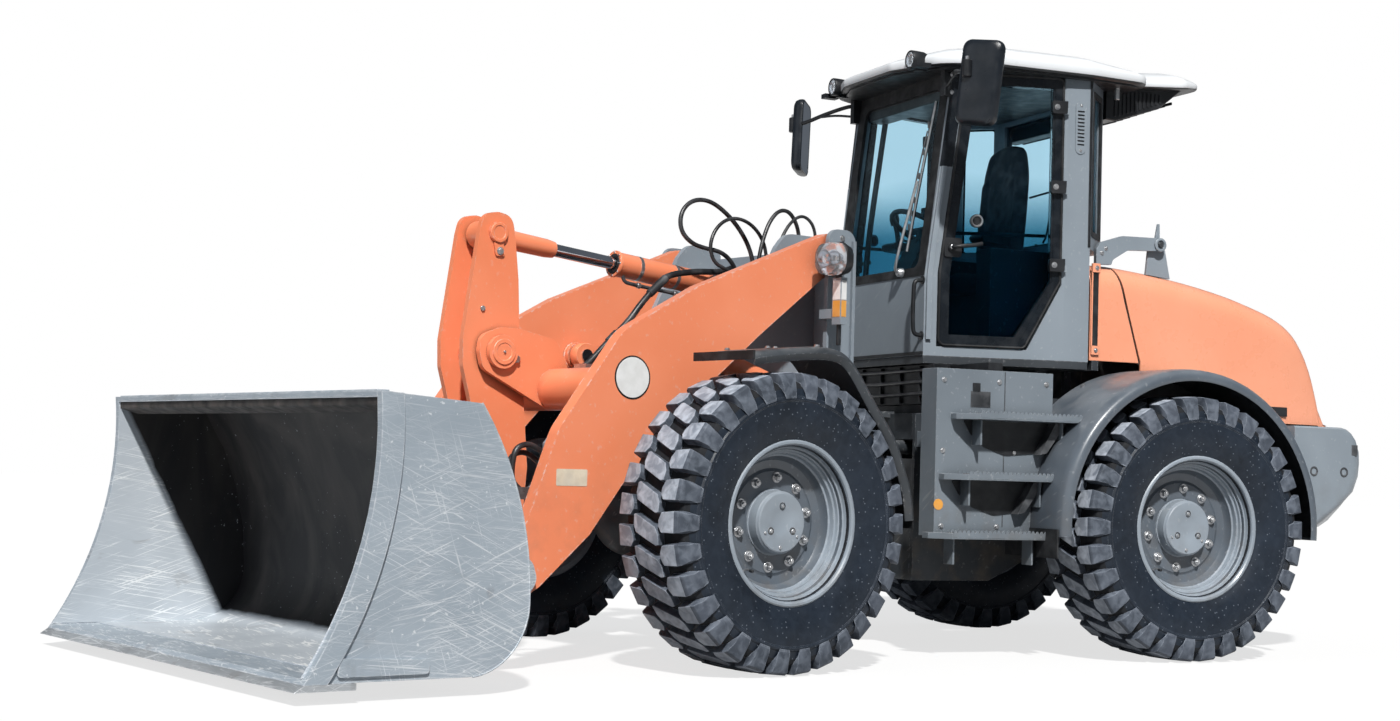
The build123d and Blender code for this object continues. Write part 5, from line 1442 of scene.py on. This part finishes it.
finishPiece("cabInterior", "blackPlastic", "rear_half", bevel=3)

# seat: cushion and back with bolsters, crowned and drawn in at the seams
seatFacts = {"cushion": (482, 938, 1831, 1958), "cushionHalf": 232,
             "back": (852, 900, 1962, 2672), "backHalf": 218,
             "pulled": 0.16, "fill": 0.7}


def softBlock(spotOf, across, along):
    # a pillow form: two skins, over and under, joined round the rim; spotOf takes u, v in -1..1
    shape = bench["shape"]
    over, under = ([[shape.verts.new(spotOf(-1 + 2 * k / across, -1 + 2 * i / along, up))
                     for k in range(across + 1)]
                    for i in range(along + 1)] for up in (True, False))
    for i in range(along):
        for k in range(across):
            for skin in (over, under):
                shape.faces.new((skin[i][k], skin[i][k + 1], skin[i + 1][k + 1], skin[i + 1][k]))
    rim = [(0, k) for k in range(across)] + [(i, across) for i in range(along)]
    rim += [(along, k) for k in range(across, 0, -1)] + [(i, 0) for i in range(along, 0, -1)]
    for (i, k), (j, m) in zip(rim, rim[1:] + rim[:1]):
        shape.faces.new((over[i][k], under[i][k], under[j][m], over[j][m]))


def ridge(at, middle, width):
    return math.exp(-((at - middle) / width) ** 2)


def pillow(u, v):
    # rounds the square's corners, pulls the sides in between them, and crowns the middle
    pulled = seatFacts["pulled"]
    crown = (1 - max(abs(u), abs(v)) ** 6) ** 0.5
    return u * math.sqrt(1 - pulled * v * v), v * math.sqrt(1 - pulled * u * u), crown


def cushionSpot(u, v, up):
    y0, y1, z0, z1 = seatFacts["cushion"]
    across, along, crown = pillow(u, v)
    middle = z0 + 52
    creases = 14 * ridge(abs(u), 0.78, 0.16) - 9 * ridge(abs(u), 0.56, 0.035)
    seams = creases - 7 * ridge(v, -0.35, 0.04) * (abs(u) < 0.56)
    lift = (z1 - 16 - middle + seams - 10 * (1 - u * u) * (v > -0.9)) * crown
    z = middle + lift if up else middle - (middle - z0) * min(1, crown * 1.6)
    return across * seatFacts["cushionHalf"], (y0 + y1) / 2 + along * (y1 - y0) / 2, z


def backSpot(u, v, up):
    y0, y1, z0, z1 = seatFacts["back"]
    across, along, crown = pillow(u, v)
    t = (along + 1) / 2
    taper = 1 - 0.26 * (max(0, t - 0.72) / 0.28) ** 1.5
    seams = (16 * ridge(abs(u), 0.8, 0.15) * (t < 0.75) - 9 * ridge(abs(u), 0.58, 0.035) * (t < 0.74)
             - 10 * ridge(t, 0.74, 0.018) + 10 * ridge(t, 0.28, 0.16))
    y = y0 + (y1 - y0) * t + 46 + (-(26 + seams) if up else 38) * crown
    return across * seatFacts["backHalf"] * taper, y, z0 + (z1 - z0) * t


softBlock(cushionSpot, 36, 36)
softBlock(backSpot, 36, 48)
cabSeat = finishPiece("cabSeat", "seatCloth", "rear_half", smooth=80, replaced="seat")
smoothSkin = cabSeat.modifiers.new("smooth", "SUBSURF")
smoothSkin.levels = smoothSkin.render_levels = 1
print("cab fitted")

# roof: two domed shells with a dark underside; each has its plan, corners, middle and the line over its top
roofFacts = {"main": {"plan": ((-250, 62), (250, 62), (560, 180), (692, 430), (715, 1000),
                               (684, 1392), (-684, 1392),
                               (-715, 1000), (-692, 430), (-560, 180)),
                      "round": (110, 110, 170, 220, 260, 110, 110, 260, 220, 170), "steps": 9, "middle": 720,
                      "top": ((40, 2995), (80, 3026), (260, 3068), (480, 3088), (700, 3095),
                              (920, 3093), (1120, 3080),
                              (1400, 3010)),
                      "low": ((1405, 2938), (1862, 2938)), "edge": 42},
             "rear": {"plan": ((-548, 1190), (548, 1190), (548, 1700), (470, 1862),
                               (-470, 1862), (-548, 1700)),
                      "round": (30, 30, 120, 120, 120, 120), "steps": 8, "middle": 1520,
                      "top": ((1180, 3010), (1300, 3066), (1430, 3088), (1560, 3098),
                              (1700, 3092), (1862, 3062)),
                      "low": ((1405, 2942), (1862, 3000)), "edge": 22},
             "rings": 14, "crown": 0.02}


def addDome(facts):
    # rings from the underside's middle out over the rim and up to the crown
    outline, middle = roundOff(facts["plan"], facts["round"], facts["steps"]), facts["middle"]
    count, crown = roofFacts["rings"], roofFacts["crown"]
    rings = []

    def addRing(share, heightAt):
        ring = [(x * share, middle + (y - middle) * share) for x, y in outline]
        rings.append([(x, y, heightAt(y)) for x, y in ring])

    def lowAt(y):
        return readLine(facts["low"], max(y, 1405))

    for share in (crown, 0.5, 0.93, 0.985):
        addRing(share, lowAt)
    for share, rise in ((0.997, 0.25), (1.0, 0.6)):
        addRing(share, lambda y: lowAt(y) + facts["edge"] * rise)
    for share in [math.cos(math.pi / 2 * i / count) for i in range(count)] + [crown]:
        rise = (1 - share ** 3.4) ** 0.44
        addRing(share, lambda y: (lowAt(y) + facts["edge"]) * (1 - rise) + easeLine(facts["top"], y) * rise)
    addLoft(rings)
    return outline


mainLine = addDome(roofFacts["main"])
addDome(roofFacts["rear"])
bench["shape"].normal_update()
for face in bench["shape"].faces:
    face.material_index = int(face.normal.z < -0.5)
finishPiece("cabRoof", "roofPaint blackPlastic", "rear_half", smooth=50, replaced="cab_roof")

addBar((560, 1250, 2870), (560, 1250, 2950), 14, 14, 1, edge=2)
addBlock(470, 520, 66, 150, 2925, 2950)
mirrorOver()
addSlab([(x * 0.95, 720 + (y - 720) * 0.95) for x, y in mainLine], 2928, 2940)
finishPiece("roofEaves", "blackPlastic boltZinc", "rear_half", bevel=3)

# air unit's louvres, on its sides and across its sloping underside
for y in (1290 + i * 26 for i in range(12)):
    base = 2790 + max(0, y - 1300) * 0.36
    addBlock(479, 486, y, y + 11, base + 8, min(2945, base + 120))
mirrorOver()
for y in (1330 + 45 * i for i in range(9)):
    z = 2776 + (y - 1300) * 0.36
    addBlock(-440, 440, y - 5, y + 5, z - 9, z + 6)
finishPiece("airUnitGrille", "blackPlastic", "rear_half", bevel=2)

# roof lamps: shell, faceted reflector, lens and bracket
roofLampFacts = {"spot": (420, 40, 2978),
                 "shell": ((-150, tip), (-150, 22), (-140, 36), (-112, 46), (-70, 48), (-44, 48),
                           (-40, 46), (-40, 40),
                           (-56, 38), (-56, tip)),
                 "lens": ((-46, tip), (-46, 39), (-42, 39), (-38.5, 32), (-36.5, 18), (-36, tip)),
                 "bowl": ((88, 38), (96, 30), (106, 18), (108, 5))}
x, y, z = roofLampFacts["spot"]
addTurned(roofLampFacts["shell"], (x, y, z), ahead, 36, closed=False)
addBowl((x, z), roofLampFacts["bowl"], 12, 1)
addTurned(roofLampFacts["lens"], (x, y, z), ahead, 36, 2, closed=False)
addBlock(x - 16, x + 16, 112, 172, 2922, 2942)
mirrorOver()
finishPiece("roofLamps", "blackPlastic chromeSteel lensClear", "rear_half", smooth=34,
            replaced="roof_lamps")

# mirrors: moulded shell, glass, clamp and bent arm
mirrorFacts = {"spot": (955, 165, 2780), "turn": 40, "lean": 6, "half": (105, 31, 210),
               # shell's rings: (depth, how much smaller)
               "rings": ((-31, 30), (-28, 18), (-19, 7), (-1, 1), (15, 0), (27, 2), (31, 7),
                         (31, 11), (27, 12))}


def buildMirrors(facts):
    half, deep, high = facts["half"]
    seat = Matrix.Translation(facts["spot"]) @ Matrix.Rotation(math.radians(facts["turn"]), 4, "Z")
    seat = seat @ Matrix.Rotation(math.radians(facts["lean"]), 4, "Y")

    def headRing(at, less, corner):
        w, h = half - less, high - less
        return [seat @ Vector((x, at, z)) for x, z in roundRect(-w, w, -h, h, corner, 6)]

    addLoft([headRing(at, less, 44) for at, less in facts["rings"]])
    addLoft([headRing(at, 13, 34) for at in (deep - 5, deep - 2)], 1)
    hold = seat @ Vector((-60, -deep - 2, 60))
    addBar(hold + Vector((0, 0, -42)), hold + Vector((0, 0, 42)), 24, 20, 2, edge=4)
    addBar(hold + Vector((0, 0, 42)), hold + Vector((0, 0, 60)), 11, 16, 3, edge=1)
    addPipe([(490, 318, 2905), (560, 262, 2908), (700, 190, 2880), (840, 138, 2850), tuple(hold)], 11, 14, 2)
    addPipe([(484, 262, 2840), (620, 214, 2862), (740, 172, 2868)], 7, 10, 2)
    addBlock(462, 500, 240, 330, 2800, 2930, 2)
    for z in (2820, 2910):
        addBolt((500, 285, z), aside, 9, 3)
    mirrorOver()
    finishPiece("cabMirrors", "mirrorShell mirrorGlass blackPlastic boltZinc", "rear_half",
                smooth=40,
                bevel=1.2, replaced="mirrors")


buildMirrors(mirrorFacts)
print("roof, lamps and mirrors on")

# dark cross member and cooler housing under the cab's front, all in black that stands in for the shade under
# the cab: painted shade
addBlock(500, 880, 300, 380, 1396, 1436)
mirrorOver()
addBlock(-520, 520, 205, 520, 1236, 1437)
for x in (-400, -200, 0, 200, 400):
    addBlock(x - 8, x + 8, 190, 206, 1242, 1430)
for z in (1290, 1350, 1410):
    addPipe([(-500, 196, z), (0, 186, z - 6), (500, 196, z)], 10, 10, 1)
finishPiece("underCab", "blackPlastic hoseRubber", "rear_half", bevel=4)

# floor and light
stageFacts = {"reach": 60, "sky": 0.16, "bounce": 0.26, "glow": 0.72,
              # (direction, power, angle in degrees, colour)
              "keyLamp": ((-0.911, 0.335, -1.0), 4.3, 2.5, (1.0, 0.985, 0.96)),
              "fillLamp": ((-0.25, 1.0, -0.25), 0.34, 40, (0.93, 0.96, 1.0))}


def seenStraight():
    # where the camera looks, straight or through glass
    path = addNode("LightPath", {}, "Is Camera Ray")
    return path, work("MAXIMUM", path, path.node.outputs["Is Transmission Ray"])


def buildFloor(facts):
    # pale ground: bright where the camera or glass looks at it, darker for the light it throws back
    startFinish("paleFloor")
    tree = mixing["tree"]
    tree.nodes.remove(mixing["shader"])
    tone = blend(grain(0.6, 3), (0.90, 0.90, 0.90), (0.93, 0.93, 0.93))
    path, seen = seenStraight()
    dull = work("MULTIPLY", path.node.outputs["Is Diffuse Ray"], 1 - facts["bounce"], False)
    matt = addNode("BsdfDiffuse", {"Color": blend(dull, tone, (0, 0, 0))})
    glow = addNode("Emission", {"Color": (1, 1, 1), "Strength": 1.0})
    mix = addNode("MixShader", {0: times(seen, facts["glow"]), 1: matt, 2: glow})
    feed(tree.nodes["Material Output"].inputs["Surface"], mix)
    r = facts["reach"]
    mesh = bpy.data.meshes.new("floor")
    mesh.from_pydata([(-r, -r, 0), (r, -r, 0), (r, r, 0), (-r, r, 0)], [], [(0, 1, 2, 3)])
    mesh.materials.append(coats["paleFloor"])
    putObject("floor", mesh)


def lightStage(facts):
    for name in ("keyLamp", "fillLamp"):
        toward, power, degrees, color = facts[name]
        lamp = putObject(name, bpy.data.lights.new(name, "SUN"))
        lamp.data.energy = power
        lamp.data.angle = math.radians(degrees)
        lamp.data.color = color
        lamp.rotation_euler = Vector(toward).to_track_quat("-Z", "Y").to_euler()
    world = bpy.context.scene.world = bpy.data.worlds.new("studio")
    world.use_nodes = True
    mixing["tree"] = tree = world.node_tree
    tree.nodes.remove(tree.nodes["Background"])
    dim = addNode("Background", {"Color": (0.80, 0.88, 1.0), "Strength": facts["sky"]})
    bright = addNode("Background", {"Color": (1, 1, 1), "Strength": 1.0})
    either = addNode("MixShader", {0: seenStraight()[1], 1: dim, 2: bright})
    feed(tree.nodes["World Output"].inputs["Surface"], either)
    bpy.context.scene.view_settings.view_transform = "Standard"


buildFloor(stageFacts)
lightStage(stageFacts)
print("stage lit")
